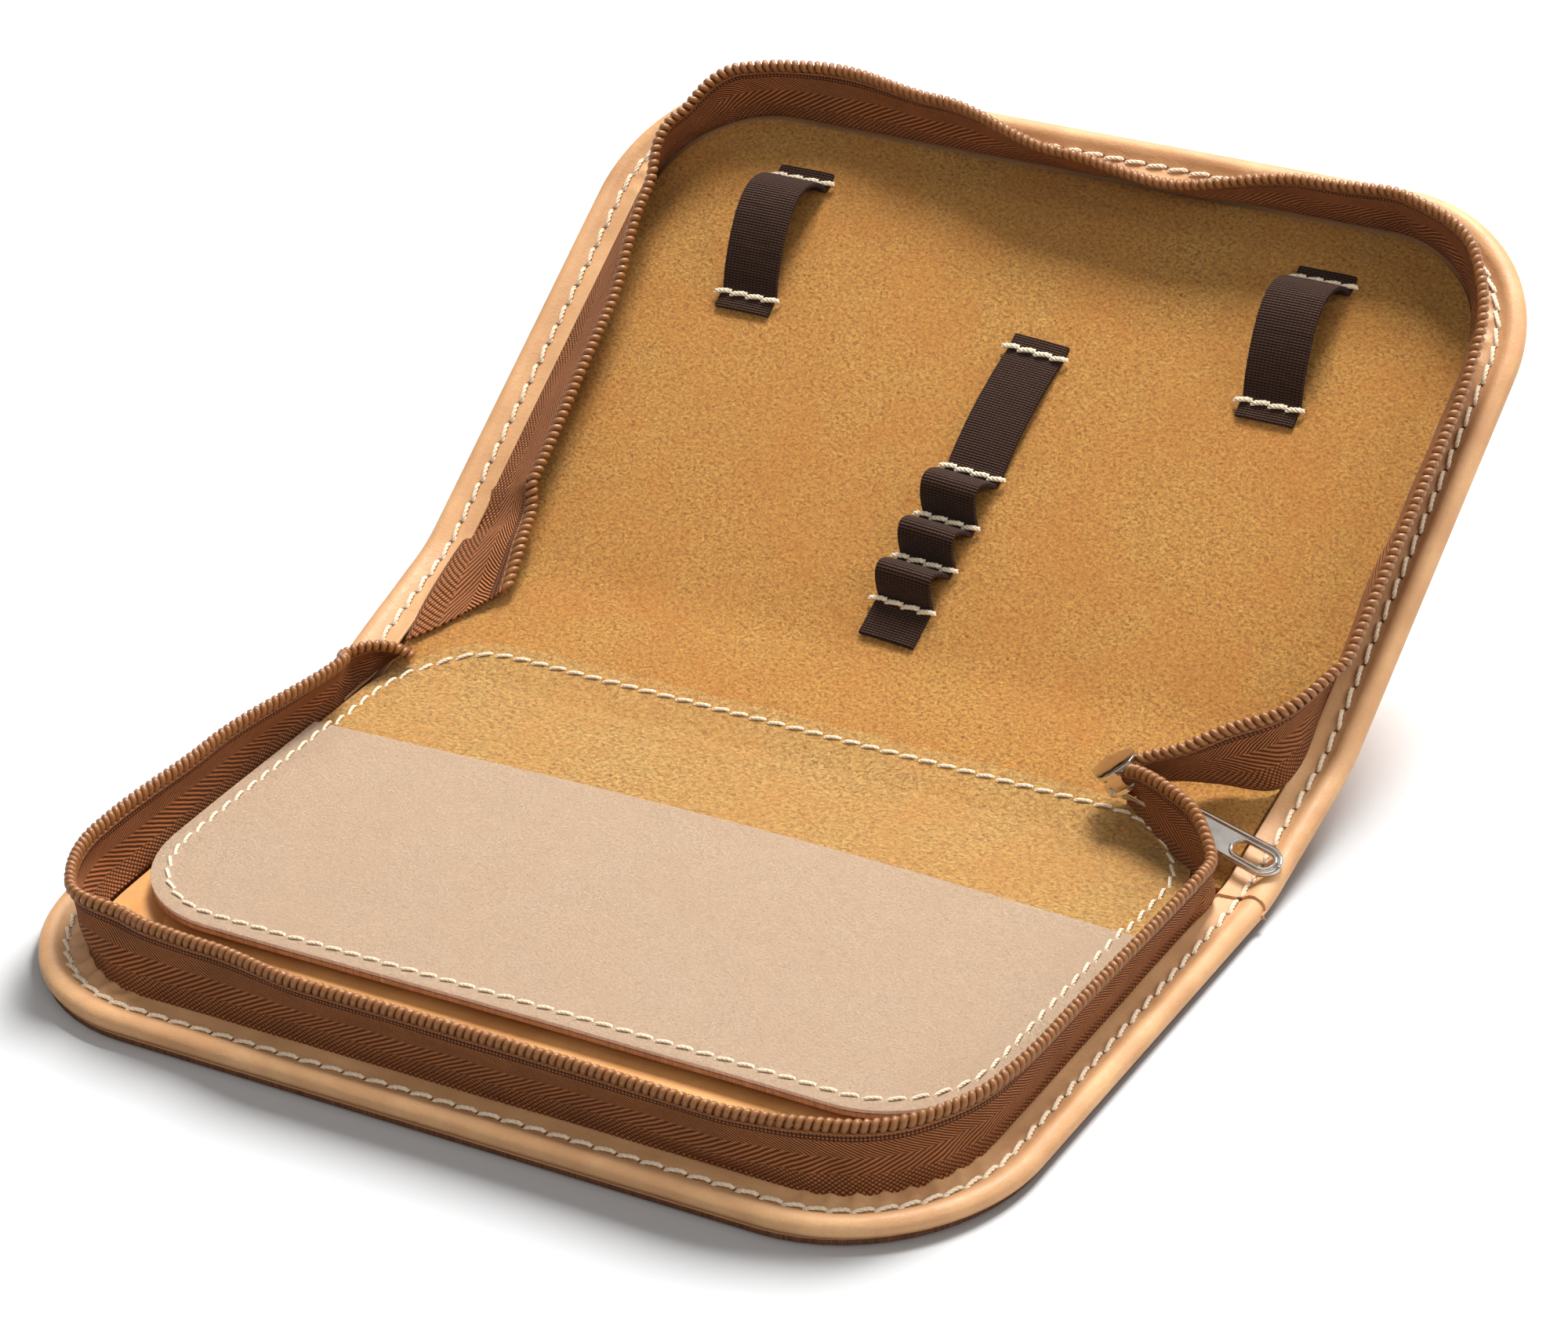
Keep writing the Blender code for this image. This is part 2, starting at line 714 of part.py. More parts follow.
def build_pull(parent):
    """Flat pull with an eye round the crown, a sunk middle and an oblong hole near its end."""
    half = pull_thickness / 2
    pull = pull_slab("slider_pull", parent, pull_outline(), -half, half)
    eye = pull_slab("pull_eye", parent, pull_eye_outline(), -pull_thickness, pull_thickness)
    hole = pull_slab("pull_hole", parent, pull_hole_outline(), -pull_thickness, pull_thickness)
    recess = pull_slab("pull_recess", parent, pull_recess_outline(), half - pull_recess_depth, pull_thickness)
    cutters = [eye, hole, recess]
    cut_solids(pull, cutters)
    return [pull] + cutters


def leaf_outline(rear, rear_corners):
    """Outline of the leaf or its pocket as (across, towards the front)."""
    outline = []
    depth = leaf_front - leaf_radius
    corners = ((leaf_left + leaf_radius, math.pi), (leaf_right - leaf_radius, math.pi / 2))
    for across, first in corners:
        for index in range(leaf_corner_steps + 1):
            turn = first - math.pi / 2 * index / leaf_corner_steps
            outline.append(Vector((across, depth)) + Vector((math.cos(turn), math.sin(turn))) * leaf_radius)
    if rear_corners:
        return outline + rear_corners
    return outline + [Vector((leaf_right, rear)), Vector((leaf_left, rear))]


def leaf_height(outward):
    """Height of the leaf's underside above the lining: it rises a little towards the front."""
    share = outward / leaf_front
    return leaf_rear_rise + (leaf_front_rise - leaf_rear_rise) * share


def leaf_sheet(name, parent, outline, lift, thickness, kind):
    """A sheet that follows the leaf's slope."""
    rings = []
    for height in (0, thickness):
        rings.append([
            Vector((at.x, -at.y, leaf_height(at.y) + lift + height)) for at in outline
        ])
    return finish(name, loft(rings), parent, kind)


def pocket_mouth():
    """The pocket's open edge, which dips a little towards the front in its middle."""
    mouth = []
    for index in range(mouth_steps + 1):
        share = index / mouth_steps
        dip = math.sin(math.pi * share)
        mouth.append(Vector((
            leaf_right + (leaf_left - leaf_right) * share,
            pocket_side_mouth + (pocket_middle_mouth - pocket_side_mouth) * dip,
        )))
    return mouth


def seam_outline():
    """The leaf's rear part, sewn down on the spine, with its two rounded corners."""
    corner = leaf_on_spine - leaf_radius
    first = math.asin((fold_gap - corner) / leaf_radius)
    outline = []
    upright = math.pi / 2
    ends = ((leaf_left + leaf_radius, -1, first, upright), (leaf_right - leaf_radius, 1, upright, first))
    for across, sign, start, stop in ends:
        centre = Vector((across, corner))
        for index in range(leaf_corner_steps + 1):
            turn = start + (stop - start) * index / leaf_corner_steps
            outline.append(centre + Vector((sign * math.cos(turn), math.sin(turn))) * leaf_radius)
    return outline


def build_leaf(parent, spine):
    leaf_sheet("leaf_panel", parent, leaf_outline(seam_clearance, None), 0, leaf_thickness, "suede")
    outline = leaf_outline(0, pocket_mouth())
    leaf_sheet("leaf_pocket", parent, outline, leaf_thickness + layer_gap, pocket_thickness, "flesh")
    outline = seam_outline()
    rings = [[Vector((at.x, at.y, seam_rise + height)) for at in outline] for height in (0, leaf_thickness)]
    finish("leaf_seam", loft(rings), spine, "suede")


def build_tray_sheet(parent):
    """The smooth sheet on the tray's floor under the front of the leaf."""
    reach = half_length - tray_sheet_side_margin
    front = half_depth - tray_sheet_front_margin
    outline = [Vector((-reach, tray_sheet_rear))]
    for sign in (-1, 1):
        for index in range(leaf_corner_steps + 1):
            turn = math.pi / 2 * index / leaf_corner_steps
            first, second = (math.cos(turn), math.sin(turn)) if sign < 0 else (math.sin(turn), math.cos(turn))
            centre = Vector((sign * (reach - tray_sheet_radius), front - tray_sheet_radius))
            outline.append(centre + Vector((sign * first, second)) * tray_sheet_radius)
    outline.append(Vector((reach, tray_sheet_rear)))
    bottom = floor_top + layer_gap
    rings = [[half_point(-1, at.x, at.y, height) for at in outline]
             for height in (bottom, bottom + tray_sheet_thickness)]
    finish("tray_sheet", loft(rings), parent, "lining_floor")


def elastic_line(rows, rises, first_end, last_end):
    """Middle line of an elastic seen from the side, as (outward, height above the lining)."""
    foot = layer_gap + elastic_thickness / 2
    line = [Vector((first_end, foot))]
    for before, after, rise in zip(rows[:-1], rows[1:], rises):
        flat = math.copysign(sewn_flat, after - before)
        start = before + flat
        stop = after - flat
        for index in range(arch_steps + 1):
            share = index / arch_steps
            height = rise * math.sin(math.pi * share) ** arch_fullness if 0 < share < 1 else 0
            line.append(Vector((start + (stop - start) * share, foot + height)))
    line.append(Vector((last_end, foot)))
    return line


def elastic(name, parent, place, slant, line):
    """An elastic strip sewn flat at its rows and arched between them."""
    section = thick_line(line, elastic_thickness)
    pivot = Vector((place, line[-1].x, 0))
    rings = []
    for edge in (-elastic_width / 2, elastic_width / 2):
        ring = []
        for point in section:
            local = Vector((edge, point.x - pivot.y, point.y))
            turned = Matrix.Rotation(-slant, 3, "Z") @ local
            ring.append(turned + pivot)
        rings.append(ring)
    return finish(name, loft(rings), parent, "elastic")


def build_loops(parent):
    for sign, word in ((-1, "left"), (1, "right")):
        rows = (side_loop_start + elastic_end, side_loop_end - elastic_end)
        line = elastic_line(rows, (side_loop_rise,), side_loop_start, side_loop_end)
        elastic("loop_" + word, parent, sign * (half_length - side_loop_margin), 0, line)
    line = elastic_line(band_rows, band_rises, band_rows[0] + elastic_end, band_tail_end)
    elastic("loop_band", parent, band_place, band_slant, line)


clear_scene()
fold_lower = empty("fold_lower", None, (0, fold_line, axis_height), 0)
spine_frame = empty("spine_frame", fold_lower, (0, 0, 0), open_angle / 2)
fold_upper = empty("fold_upper", spine_frame, (0, spine_width, 0), open_angle / 2)

lower_left_lean, lower_right_lean = build_half(
    fold_lower, -1, "lower", "lining_floor", floor_thickness, seam_clearance, lower_lean)
upper_left_lean, upper_right_lean = build_half(
    fold_upper, 1, "upper", "suede", lining_thickness, fold_gap, upper_lean)
build_spine(spine_frame)

zip_end(spine_frame, "lower_right", -1, 1, lower_right_lean, lower_right_top_shares, lower_right_foot_shares)
zip_end(spine_frame, "upper_right", 1, 1, upper_right_lean, upper_right_top_shares, upper_right_foot_shares)
zip_end(spine_frame, "lower_left", -1, -1, lower_left_lean, lower_left_top_shares, lower_left_foot_shares)
zip_end(spine_frame, "upper_left", 1, -1, upper_left_lean, upper_left_top_shares, upper_left_foot_shares)

build_slider(spine_frame)
pull_pieces = build_pull(spine_frame)
crown_centre = Matrix.Translation(Vector((slider_gap / 2 + slider_plate + crown_window / 2, 0, 0)))
pull_place = slider_matrix(Matrix.Rotation(slider_lean, 4, "Y") @ crown_centre).to_translation()
pull_lean = Matrix.Rotation(slider_turn, 4, "Z") @ Matrix.Rotation(pull_drop, 4, "Y")
for piece in pull_pieces:
    piece.matrix_local = Matrix.Translation(pull_place) @ pull_lean

build_leaf(fold_lower, spine_frame)
build_tray_sheet(fold_lower)
build_loops(fold_upper)
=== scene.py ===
import math

import bpy
from mathutils import Matrix, Vector, noise


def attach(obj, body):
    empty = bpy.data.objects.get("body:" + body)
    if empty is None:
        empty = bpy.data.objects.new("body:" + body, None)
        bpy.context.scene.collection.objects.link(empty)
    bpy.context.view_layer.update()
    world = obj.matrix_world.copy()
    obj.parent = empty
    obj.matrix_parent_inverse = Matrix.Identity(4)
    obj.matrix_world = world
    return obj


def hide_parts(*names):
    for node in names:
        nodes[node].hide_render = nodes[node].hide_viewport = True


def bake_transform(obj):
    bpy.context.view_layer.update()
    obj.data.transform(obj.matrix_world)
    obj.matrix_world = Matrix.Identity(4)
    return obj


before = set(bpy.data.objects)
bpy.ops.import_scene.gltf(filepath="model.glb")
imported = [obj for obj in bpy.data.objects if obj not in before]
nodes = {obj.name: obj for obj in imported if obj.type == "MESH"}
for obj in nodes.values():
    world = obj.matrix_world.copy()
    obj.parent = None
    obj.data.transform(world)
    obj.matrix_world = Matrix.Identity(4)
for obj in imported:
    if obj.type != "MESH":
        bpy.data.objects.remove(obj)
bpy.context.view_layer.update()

# the case as it lies open, in metres; the leather bends over foldReach on each side of a fold
case = {
    "length": 0.200,
    "halfDepth": 0.1178,
    "spineWidth": 0.034,
    "cornerRadius": 0.0343,
    "foldTurn": math.radians(16),
    "foldPlace": 0.0589,
    "foldHeight": 0.003,
    "foldReach": 0.004,
}


# places on the case

def way(lean):
    return Vector((math.cos(lean), math.sin(lean)))


def upright(lean):
    return Vector((-math.sin(lean), math.cos(lean)))


def bentPlace(along, rise):
    # (y, z) and lean of a place; along runs from the lower fold, negative over the lower half
    turn = case["foldTurn"]
    reach = case["foldReach"]
    radius = reach / math.tan(turn / 2)
    fold = Vector((case["foldPlace"], case["foldHeight"]))
    base = 0.0
    before = along
    if along > case["spineWidth"] / 2:
        fold = fold + way(turn) * case["spineWidth"]
        base = turn
        before = along - case["spineWidth"]
    if abs(before) < reach:
        lean = base + turn * (before / reach + 1) / 2
        centre = fold - way(base) * reach + upright(base) * radius
        return centre - upright(lean) * (radius - rise), lean
    lean = base if before < 0 else base + turn
    return fold + way(lean) * before + upright(lean) * rise, lean


def onCase(across, along, height):
    # height is over the underside of the outer leather
    place, lean = bentPlace(along, height - case["foldHeight"])
    return Vector((across, place.x, place.y))


def fromSpine(across, along, height):
    # the spine's own frame: height is over the lining
    turn = case["foldTurn"]
    place = Vector((case["foldPlace"], case["foldHeight"])) + way(turn) * along + upright(turn) * height
    return Vector((across, place.x, place.y))


def rimLength():
    quarter = math.pi / 2 * case["cornerRadius"]
    straight = case["halfDepth"] - case["cornerRadius"] + case["spineWidth"] / 2
    return 2 * straight + 2 * quarter + case["length"] - 2 * case["cornerRadius"]


def rimFlat(distance, inset):
    # (across, out, how far round a corner) at a distance from the middle of the spine's left end
    radius = case["cornerRadius"]
    straight = case["halfDepth"] - radius
    reach = case["length"] / 2 - radius
    quarter = math.pi / 2 * radius
    side = straight + case["spineWidth"] / 2
    mirrored = distance > rimLength() / 2
    if mirrored:
        distance = rimLength() - distance
    if distance < side:
        across, out, corner = inset - case["length"] / 2, distance - case["spineWidth"] / 2, 0.0
    elif distance < side + quarter:
        turn = (distance - side) / radius
        across = -reach - (radius - inset) * math.cos(turn)
        out = straight + (radius - inset) * math.sin(turn)
        corner = turn / (math.pi / 2)
    else:
        across, out, corner = distance - side - quarter - reach, case["halfDepth"] - inset, 1.0
    return (-across if mirrored else across), out, corner


def onRim(side, distance, inset, height):
    across, out, corner = rimFlat(distance, inset)
    along = -out if side < 0 else case["spineWidth"] + out
    return onCase(across, along, height)


def cornerNear(distance):
    # 1 in the middle of a front corner, 0 on the straight runs
    corner = rimFlat(distance, 0)[2]
    return math.sin(math.pi * corner)


def eased(share):
    share = min(max(share, 0.0), 1.0)
    return share * share * (3 - 2 * share)


def easedBetween(places, values, at):
    if at <= places[0]:
        return values[0]
    for index in range(len(places) - 1):
        if at <= places[index + 1]:
            share = (at - places[index]) / (places[index + 1] - places[index])
            return values[index] + (values[index + 1] - values[index]) * eased(share)
    return values[-1]


def pick(run, share):
    return run[round(share * (len(run) - 1))]


def hills(across, along, perMetre, seed):
    # the gentle rises and falls of a sheet, from about -1 to 1
    return noise.noise(Vector((across * perMetre, along * perMetre, seed)))


def lengthsAlong(points):
    # how far each point is along the run
    lengths = [0.0]
    for before, after in zip(points, points[1:]):
        lengths.append(lengths[-1] + (after - before).length)
    return lengths


def curveThrough(points, steps):
    # a smooth run of points through the given ones
    points = [Vector(point) for point in points]
    padded = [2 * points[0] - points[1]] + points + [2 * points[-1] - points[-2]]
    run = []
    for index in range(len(points) - 1):
        a, b, c, d = padded[index:index + 4]
        for step in range(steps):
            t = step / steps
            run.append(0.5 * (2 * b + (c - a) * t + (2 * a - 5 * b + 4 * c - d) * t ** 2
                              + (3 * b - a - 3 * c + d) * t ** 3))
    run.append(points[-1])
    return run


def evenly(rows, step):
    # rows of vectors, the place first, at even distances along their first column
    lengths = lengthsAlong([row[0] for row in rows])
    found = []
    index = 0
    for number in range(int(lengths[-1] / step) + 1):
        at = number * step
        while index < len(rows) - 2 and lengths[index + 1] < at:
            index += 1
        share = (at - lengths[index]) / (lengths[index + 1] - lengths[index])
        found.append([first.lerp(second, share) for first, second in zip(rows[index], rows[index + 1])])
    return found


# making pieces

def deselect():
    bpy.ops.object.select_all(action="DESELECT")


def selectOnly(piece):
    deselect()
    piece.select_set(True)
    bpy.context.view_layer.objects.active = piece


def applyModifiers(piece):
    selectOnly(piece)
    for modifier in list(piece.modifiers):
        bpy.ops.object.modifier_apply(modifier=modifier.name)


def applyPlace(piece):
    selectOnly(piece)
    bpy.ops.object.transform_apply(location=True, rotation=True, scale=True)


# angles in degrees below which a surface reads as smooth, and past which an edge is softened
edges = {
    "sheetSegments": 2,
    "sheetAngle": 50,
    "metalSegments": 3,
    "metalAngle": 30,
    "metalSmooth": 40,
}


def smoothBelow(degrees):
    bpy.ops.object.shade_smooth_by_angle(angle=math.radians(degrees))


def addSheet(name, columns, rows, place):
    # a grid whose points go to their place; place gives (point, (u, v) in metres)
    deselect()
    bpy.ops.mesh.primitive_grid_add(x_subdivisions=columns, y_subdivisions=rows, size=1, calc_uvs=True)
    piece = bpy.context.object
    piece.name = name
    flat = []
    for vertex in piece.data.vertices:
        point, spot = place(vertex.co.x + 0.5, vertex.co.y + 0.5)
        vertex.co = point
        flat.append(spot)
    pattern = piece.data.uv_layers.active.data
    for loop in piece.data.loops:
        pattern[loop.index].uv = flat[loop.vertex_index]
    selectOnly(piece)
    bpy.ops.object.shade_smooth()
    return piece


def inEditMode(piece, operator):
    # runs a mesh operator on all of the piece
    selectOnly(piece)
    bpy.ops.object.mode_set(mode="EDIT")
    bpy.ops.mesh.select_all(action="SELECT")
    operator()
    bpy.ops.object.mode_set(mode="OBJECT")


def turnOver(piece):
    inEditMode(piece, bpy.ops.mesh.flip_normals)


def addBevel(piece, width, segments, degrees):
    bevel = piece.modifiers.new("soft edges", "BEVEL")
    bevel.width = width
    bevel.segments = segments
    bevel.limit_method = "ANGLE"
    bevel.angle_limit = math.radians(degrees)


def thicken(piece, thickness, offset, edge=0.0, rim=0):
    # gives a sheet its thickness, with softened edges; rim is the material number of the cut edge
    solid = piece.modifiers.new("thickness", "SOLIDIFY")
    solid.thickness = thickness
    solid.offset = offset
    solid.use_even_offset = False
    solid.material_offset_rim = rim
    if edge:
        addBevel(piece, edge, edges["sheetSegments"], edges["sheetAngle"])
    applyModifiers(piece)
    smoothBelow(edges["sheetAngle"])
    return piece


def soften(piece, width):
    addBevel(piece, width, edges["metalSegments"], edges["metalAngle"])
    applyModifiers(piece)
    smoothBelow(edges["metalSmooth"])


def linesAsMesh(name, runs, closed, **settings):
    # lines of points as a curve with these settings, made a mesh
    line = bpy.data.curves.new(name, "CURVE")
    for key, value in settings.items():
        setattr(line, key, value)
    for run in runs:
        spline = line.splines.new("POLY")
        spline.points.add(len(run) - 1)
        spline.use_cyclic_u = closed
        for point, at in zip(spline.points, run):
            point.co = (at.x, at.y, at.z, 1)
    piece = bpy.data.objects.new(name, line)
    bpy.context.scene.collection.objects.link(piece)
    selectOnly(piece)
    bpy.ops.object.convert(target="MESH")
    return bpy.context.object


def addTubes(name, runs, radius, roundness=1, closed=False):
    # lines of points as round tubes in one mesh
    piece = linesAsMesh(name, runs, closed, dimensions="3D", bevel_depth=radius,
                        bevel_resolution=roundness, use_fill_caps=True)
    bpy.ops.object.shade_smooth()
    return piece


def flatPlate(name, loops, low, high, edge):
    # a plate cut to the first loop, with the others as openings
    piece = linesAsMesh(name, loops, True, dimensions="2D", fill_mode="BOTH", bevel_depth=edge,
                        bevel_resolution=2, extrude=(high - low) / 2 - edge, offset=-edge)
    piece.location.z = (low + high) / 2
    applyPlace(piece)
    smoothBelow(edges["metalSmooth"])
    return piece


def joinAll(name, pieces):
    deselect()
    for piece in pieces:
        piece.select_set(True)
    bpy.context.view_layer.objects.active = pieces[0]
    if len(pieces) > 1:
        bpy.ops.object.join()
    pieces[0].name = name
    return pieces[0]


def setFinish(piece, *materials):
    piece.data.materials.clear()
    for material in materials:
        piece.data.materials.append(material)


def frameAt(place, ahead, up):
    # x along ahead, z as near to up as it can be
    ahead = ahead.normalized()
    side = up.cross(ahead).normalized()
    turned = Matrix((ahead, side, ahead.cross(side))).transposed().to_4x4()
    return Matrix.Translation(place) @ turned


nudge = 0.001  # a short way along or off a surface, which shows how it lies


def frameOn(spot):
    # spot gives a place from how far it moves on along its line and off its surface
    at = spot(0, 0)
    return frameAt(at, spot(nudge, 0) - at, spot(0, nudge) - at)


# nodes of the materials

def tone(red, green, blue):
    # a colour in screen values, as the shader takes it
    def straight(value):
        share = value / 255
        return share / 12.92 if share <= 0.04045 else ((share + 0.055) / 1.055) ** 2.4
    return (straight(red), straight(green), straight(blue), 1.0)


def newMaterial(name, plain):
    # plain holds the shader's values that are the same all over
    material = bpy.data.materials.new(name)
    material.use_nodes = True
    shader = material.node_tree.nodes["Principled BSDF"]
    for key, value in plain.items():
        shader.inputs[key].default_value = value
    return material, shader


def addNode(material, kind, inputs=None, **settings):
    node = material.node_tree.nodes.new(kind)
    for key, value in settings.items():
        setattr(node, key, value)
    for key, value in (inputs or {}).items():
        if isinstance(value, bpy.types.NodeSocket):
            material.node_tree.links.new(value, node.inputs[key])
        else:
            node.inputs[key].default_value = value
    return node


def feed(material, socket, value):
    material.node_tree.links.new(value, socket)


def spotOf(material, kind):
    # UV is the piece's own flat pattern in metres
    return addNode(material, "ShaderNodeTexCoord").outputs[kind]


def turnedSpot(material, stretch, turn):
    mapping = addNode(material, "ShaderNodeMapping", {"Vector": spotOf(material, "UV"), "Scale": stretch})
    mapping.inputs["Rotation"].default_value = (0, 0, turn)
    return mapping.outputs[0]


def flatAxes(material):
    # the flat pattern's spot, and how far it is along and up
    spot = spotOf(material, "UV")
    split = addNode(material, "ShaderNodeSeparateXYZ", {"Vector": spot})
    return spot, split.outputs[0], split.outputs[1]


def noiseOn(material, spot, size, detail=4.0, roughness=0.55, distortion=0.0):
    # size is the width of one patch in metres
    node = addNode(material, "ShaderNodeTexNoise", {
        "Vector": spot, "Scale": 1 / size, "Detail": detail,
        "Roughness": roughness, "Distortion": distortion})
    return node.outputs["Fac"]


def cellsOn(material, spot, size):
    node = addNode(material, "ShaderNodeTexVoronoi", {"Vector": spot, "Scale": 1 / size})
    return node.outputs["Distance"]


def maths(material, operation, first, second=0.0):
    return addNode(material, "ShaderNodeMath", {0: first, 1: second}, operation=operation).outputs[0]


def lengthOf(material, vector):
    return addNode(material, "ShaderNodeVectorMath", {0: vector}, operation="LENGTH").outputs["Value"]


def spread(material, value, low, high, toLow=0.0, toHigh=1.0):
    node = addNode(material, "ShaderNodeMapRange", {
        "Value": value, "From Min": low, "From Max": high, "To Min": toLow, "To Max": toHigh})
    return node.outputs[0]


def waves(material, value, length, middle=0.5, swing=0.5):
    # a sine of the value, from 0 to 1 unless its middle and swing say otherwise
    turn = maths(material, "SINE", maths(material, "MULTIPLY", value, 2 * math.pi / length))
    return maths(material, "ADD", maths(material, "MULTIPLY", turn, swing), middle)


def blendValues(material, share, first, second):
    node = addNode(material, "ShaderNodeMix", {0: share, 2: first, 3: second}, data_type="FLOAT")
    return node.outputs[0]


def blendColours(material, share, first, second):
    node = addNode(material, "ShaderNodeMix", {0: share, 6: first, 7: second}, data_type="RGBA")
    return node.outputs[2]


def layer(material, under, over, value, shown):
    # shown holds the two values between which the upper colour comes up, and how far it does
    return blendColours(material, spread(material, value, *shown), under, over)


def bump(material, height, distance, strength=1.0, before=None):
    inputs = {"Height": height, "Distance": distance, "Strength": strength}
    if before is not None:
        inputs["Normal"] = before
    return addNode(material, "ShaderNodeBump", inputs).outputs[0]


# finishes; a patch is given as width in metres, detail, roughness and distortion, and a bump as depth in
# metres and strength

grain = {
    "clouds": (0.016, 3.0),
    "cloudsShown": (0.30, 0.70),
    "fine": (0.0016, 5.0, 0.6),
    "fineShown": (0.45, 0.75, 0.0, 0.30),
    "fineRange": (0.2, 0.8),
    "pores": 0.00055,
    "poresShown": (0.05, 0.32, 0.28, 0.0),
    "poreBump": (0.00006, 0.55),
    "creaseStretch": ((1, 3, 1), 0.6),
    "creases": (0.004, 4.0, 0.6, 0.6),
    "creaseBump": (0.00022, 0.35),
    "smoother": 0.06,
    "rougher": 0.12,
    "plain": {"Specular IOR Level": 0.34},
}


def smoothLeather(name, light, dark, gloss=0.46):
    # vegetable-tanned grain side: soft clouds, fine pores and faint creases
    material, shader = newMaterial(name, grain["plain"])
    spot = spotOf(material, "UV")
    fine = noiseOn(material, spot, *grain["fine"])
    pores = cellsOn(material, spot, grain["pores"])
    base = layer(material, dark, light, noiseOn(material, spot, *grain["clouds"]), grain["cloudsShown"])
    base = layer(material, base, dark, fine, grain["fineShown"])
    base = layer(material, base, dark, pores, grain["poresShown"])
    feed(material, shader.inputs["Base Color"], base)
    rough = (gloss - grain["smoother"], gloss + grain["rougher"])
    feed(material, shader.inputs["Roughness"], spread(material, fine, *grain["fineRange"], *rough))
    creases = noiseOn(material, turnedSpot(material, *grain["creaseStretch"]), *grain["creases"])
    normal = bump(material, pores, *grain["poreBump"])
    feed(material, shader.inputs["Normal"], bump(material, creases, *grain["creaseBump"], normal))
    return material


seamLook = {
    # painted shade: darker along the stitch line's groove, and the hole tone in the needle holes
    "grooveShadeShown": (0.0004, 0.0011, 0.38, 0.0),
    "holeShadeShown": (0.00035, 0.0006, 0.85, 0.0),
    "hole": tone(70, 42, 26),
}


def boundLeather(name, light, dark, seam):
    # the same leather with painted shade in the needle holes between the stitches and painted shade along
    # the stitch line's groove
    material = smoothLeather(name, light, dark)
    shader = material.node_tree.nodes["Principled BSDF"]
    base = shader.inputs["Base Color"].links[0].from_socket
    spot, forward, up = flatAxes(material)
    along = maths(material, "PINGPONG", forward, seam["pitch"] / 2)
    across = maths(material, "ABSOLUTE", maths(material, "SUBTRACT", up, seam["place"]))
    reach = addNode(material, "ShaderNodeCombineXYZ", {0: along, 1: across})
    # painted shade along the stitch line's groove
    base = layer(material, base, dark, across, seamLook["grooveShadeShown"])
    away = lengthOf(material, reach.outputs[0])
    # painted shade in the needle holes
    base = layer(material, base, seamLook["hole"], away, seamLook["holeShadeShown"])
    feed(material, shader.inputs["Base Color"], base)
    return material


brushing = {
    "clumpStretch": ((1.0, 1.35, 1), 0.5),
    "clumps": (6.0, 0.74, 0.6),
    "clumpsShown": (0.34, 0.58),
    "clumpBump": (1.2, 1.0),
    "hairStretch": ((1.0, 2.6, 1), 1.1),
    "hairWidth": 0.5,
    "hairs": (4.0, 0.7, 0.9),
    "hairsShown": (0.50, 0.70, 0.0, 0.55),
    "hairBump": (0.8, 0.8),
    "mottle": (0.0035, 3.0, 0.6, 0.3),
    "mottleShown": (0.45, 0.75, 0.0, 0.30),
    "marks": (0.020, 3.0, 0.5, 0.4),
    "marksShown": (0.35, 0.72, 0.0, 0.42),
    "fleckStretch": ((1.0, 4.5, 1), 0.3),
    "flecks": (0.0011, 3.0, 0.6, 1.5),
    "flecksShown": (0.55, 0.72, 0.0, 0.75),
    "plain": {"Roughness": 0.93, "Specular IOR Level": 0.16, "Sheen Roughness": 0.45,
              "Sheen Tint": (1.0, 0.86, 0.66, 1)},
}


def suede(name, light, dark, patch, nap, sheen, fleck=None):
    # brushed nap: clumps of short fibres, nap metres wide, that catch the light, over broad hand marks
    material, shader = newMaterial(name, brushing["plain"])
    shader.inputs["Sheen Weight"].default_value = sheen
    spot = spotOf(material, "UV")
    clumps = noiseOn(material, turnedSpot(material, *brushing["clumpStretch"]), nap, *brushing["clumps"])
    hairs = noiseOn(material, turnedSpot(material, *brushing["hairStretch"]), nap * brushing["hairWidth"],
                    *brushing["hairs"])
    base = layer(material, dark, light, clumps, brushing["clumpsShown"])
    base = layer(material, base, dark, hairs, brushing["hairsShown"])
    for word in ("mottle", "marks"):
        patches = noiseOn(material, spot, *brushing[word])
        base = layer(material, base, patch, patches, brushing[word + "Shown"])
    if fleck:
        flecks = noiseOn(material, turnedSpot(material, *brushing["fleckStretch"]), *brushing["flecks"])
        base = layer(material, base, fleck, flecks, brushing["flecksShown"])
    feed(material, shader.inputs["Base Color"], base)
    normal = None
    for height, (depth, strength) in ((clumps, brushing["clumpBump"]), (hairs, brushing["hairBump"])):
        normal = bump(material, height, nap * depth, strength, normal)
    feed(material, shader.inputs["Normal"], normal)
    return material


# zip tape from its foot up: a knitted band, broad slanted ribs, fine ribs that slant back, a plain band
weave = {
    "knitTop": 0.0044,
    "ribTop": 0.0087,
    "fineTop": 0.0122,
    "edge": 0.00025,
    "slope": 1.5,
    "rib": 0.00175,
    "fineRib": 0.00095,
    "knit": 0.0011,
    "plainCount": 0.0007,
    "twist": 0.0005,
    "twistDepth": (0.0, 1.0, 0.78, 1.0),
    "wobble": 0.0006,
    "wobblePatch": (0.003, 2.0),
    "fuzz": (0.0003, 4.0, 0.7),
    "fuzzRange": (0.2, 0.8, 0.6, 1.2),
    "clouds": (0.012, 2.0),
    "cloudsShown": (0.4, 0.75, 0.0, 0.25),
    "bump": (0.00045, 0.9),
    "plain": {"Roughness": 0.85, "Specular IOR Level": 0.2, "Sheen Weight": 0.12,
              "Sheen Tint": (0.9, 0.6, 0.4, 1)},
}


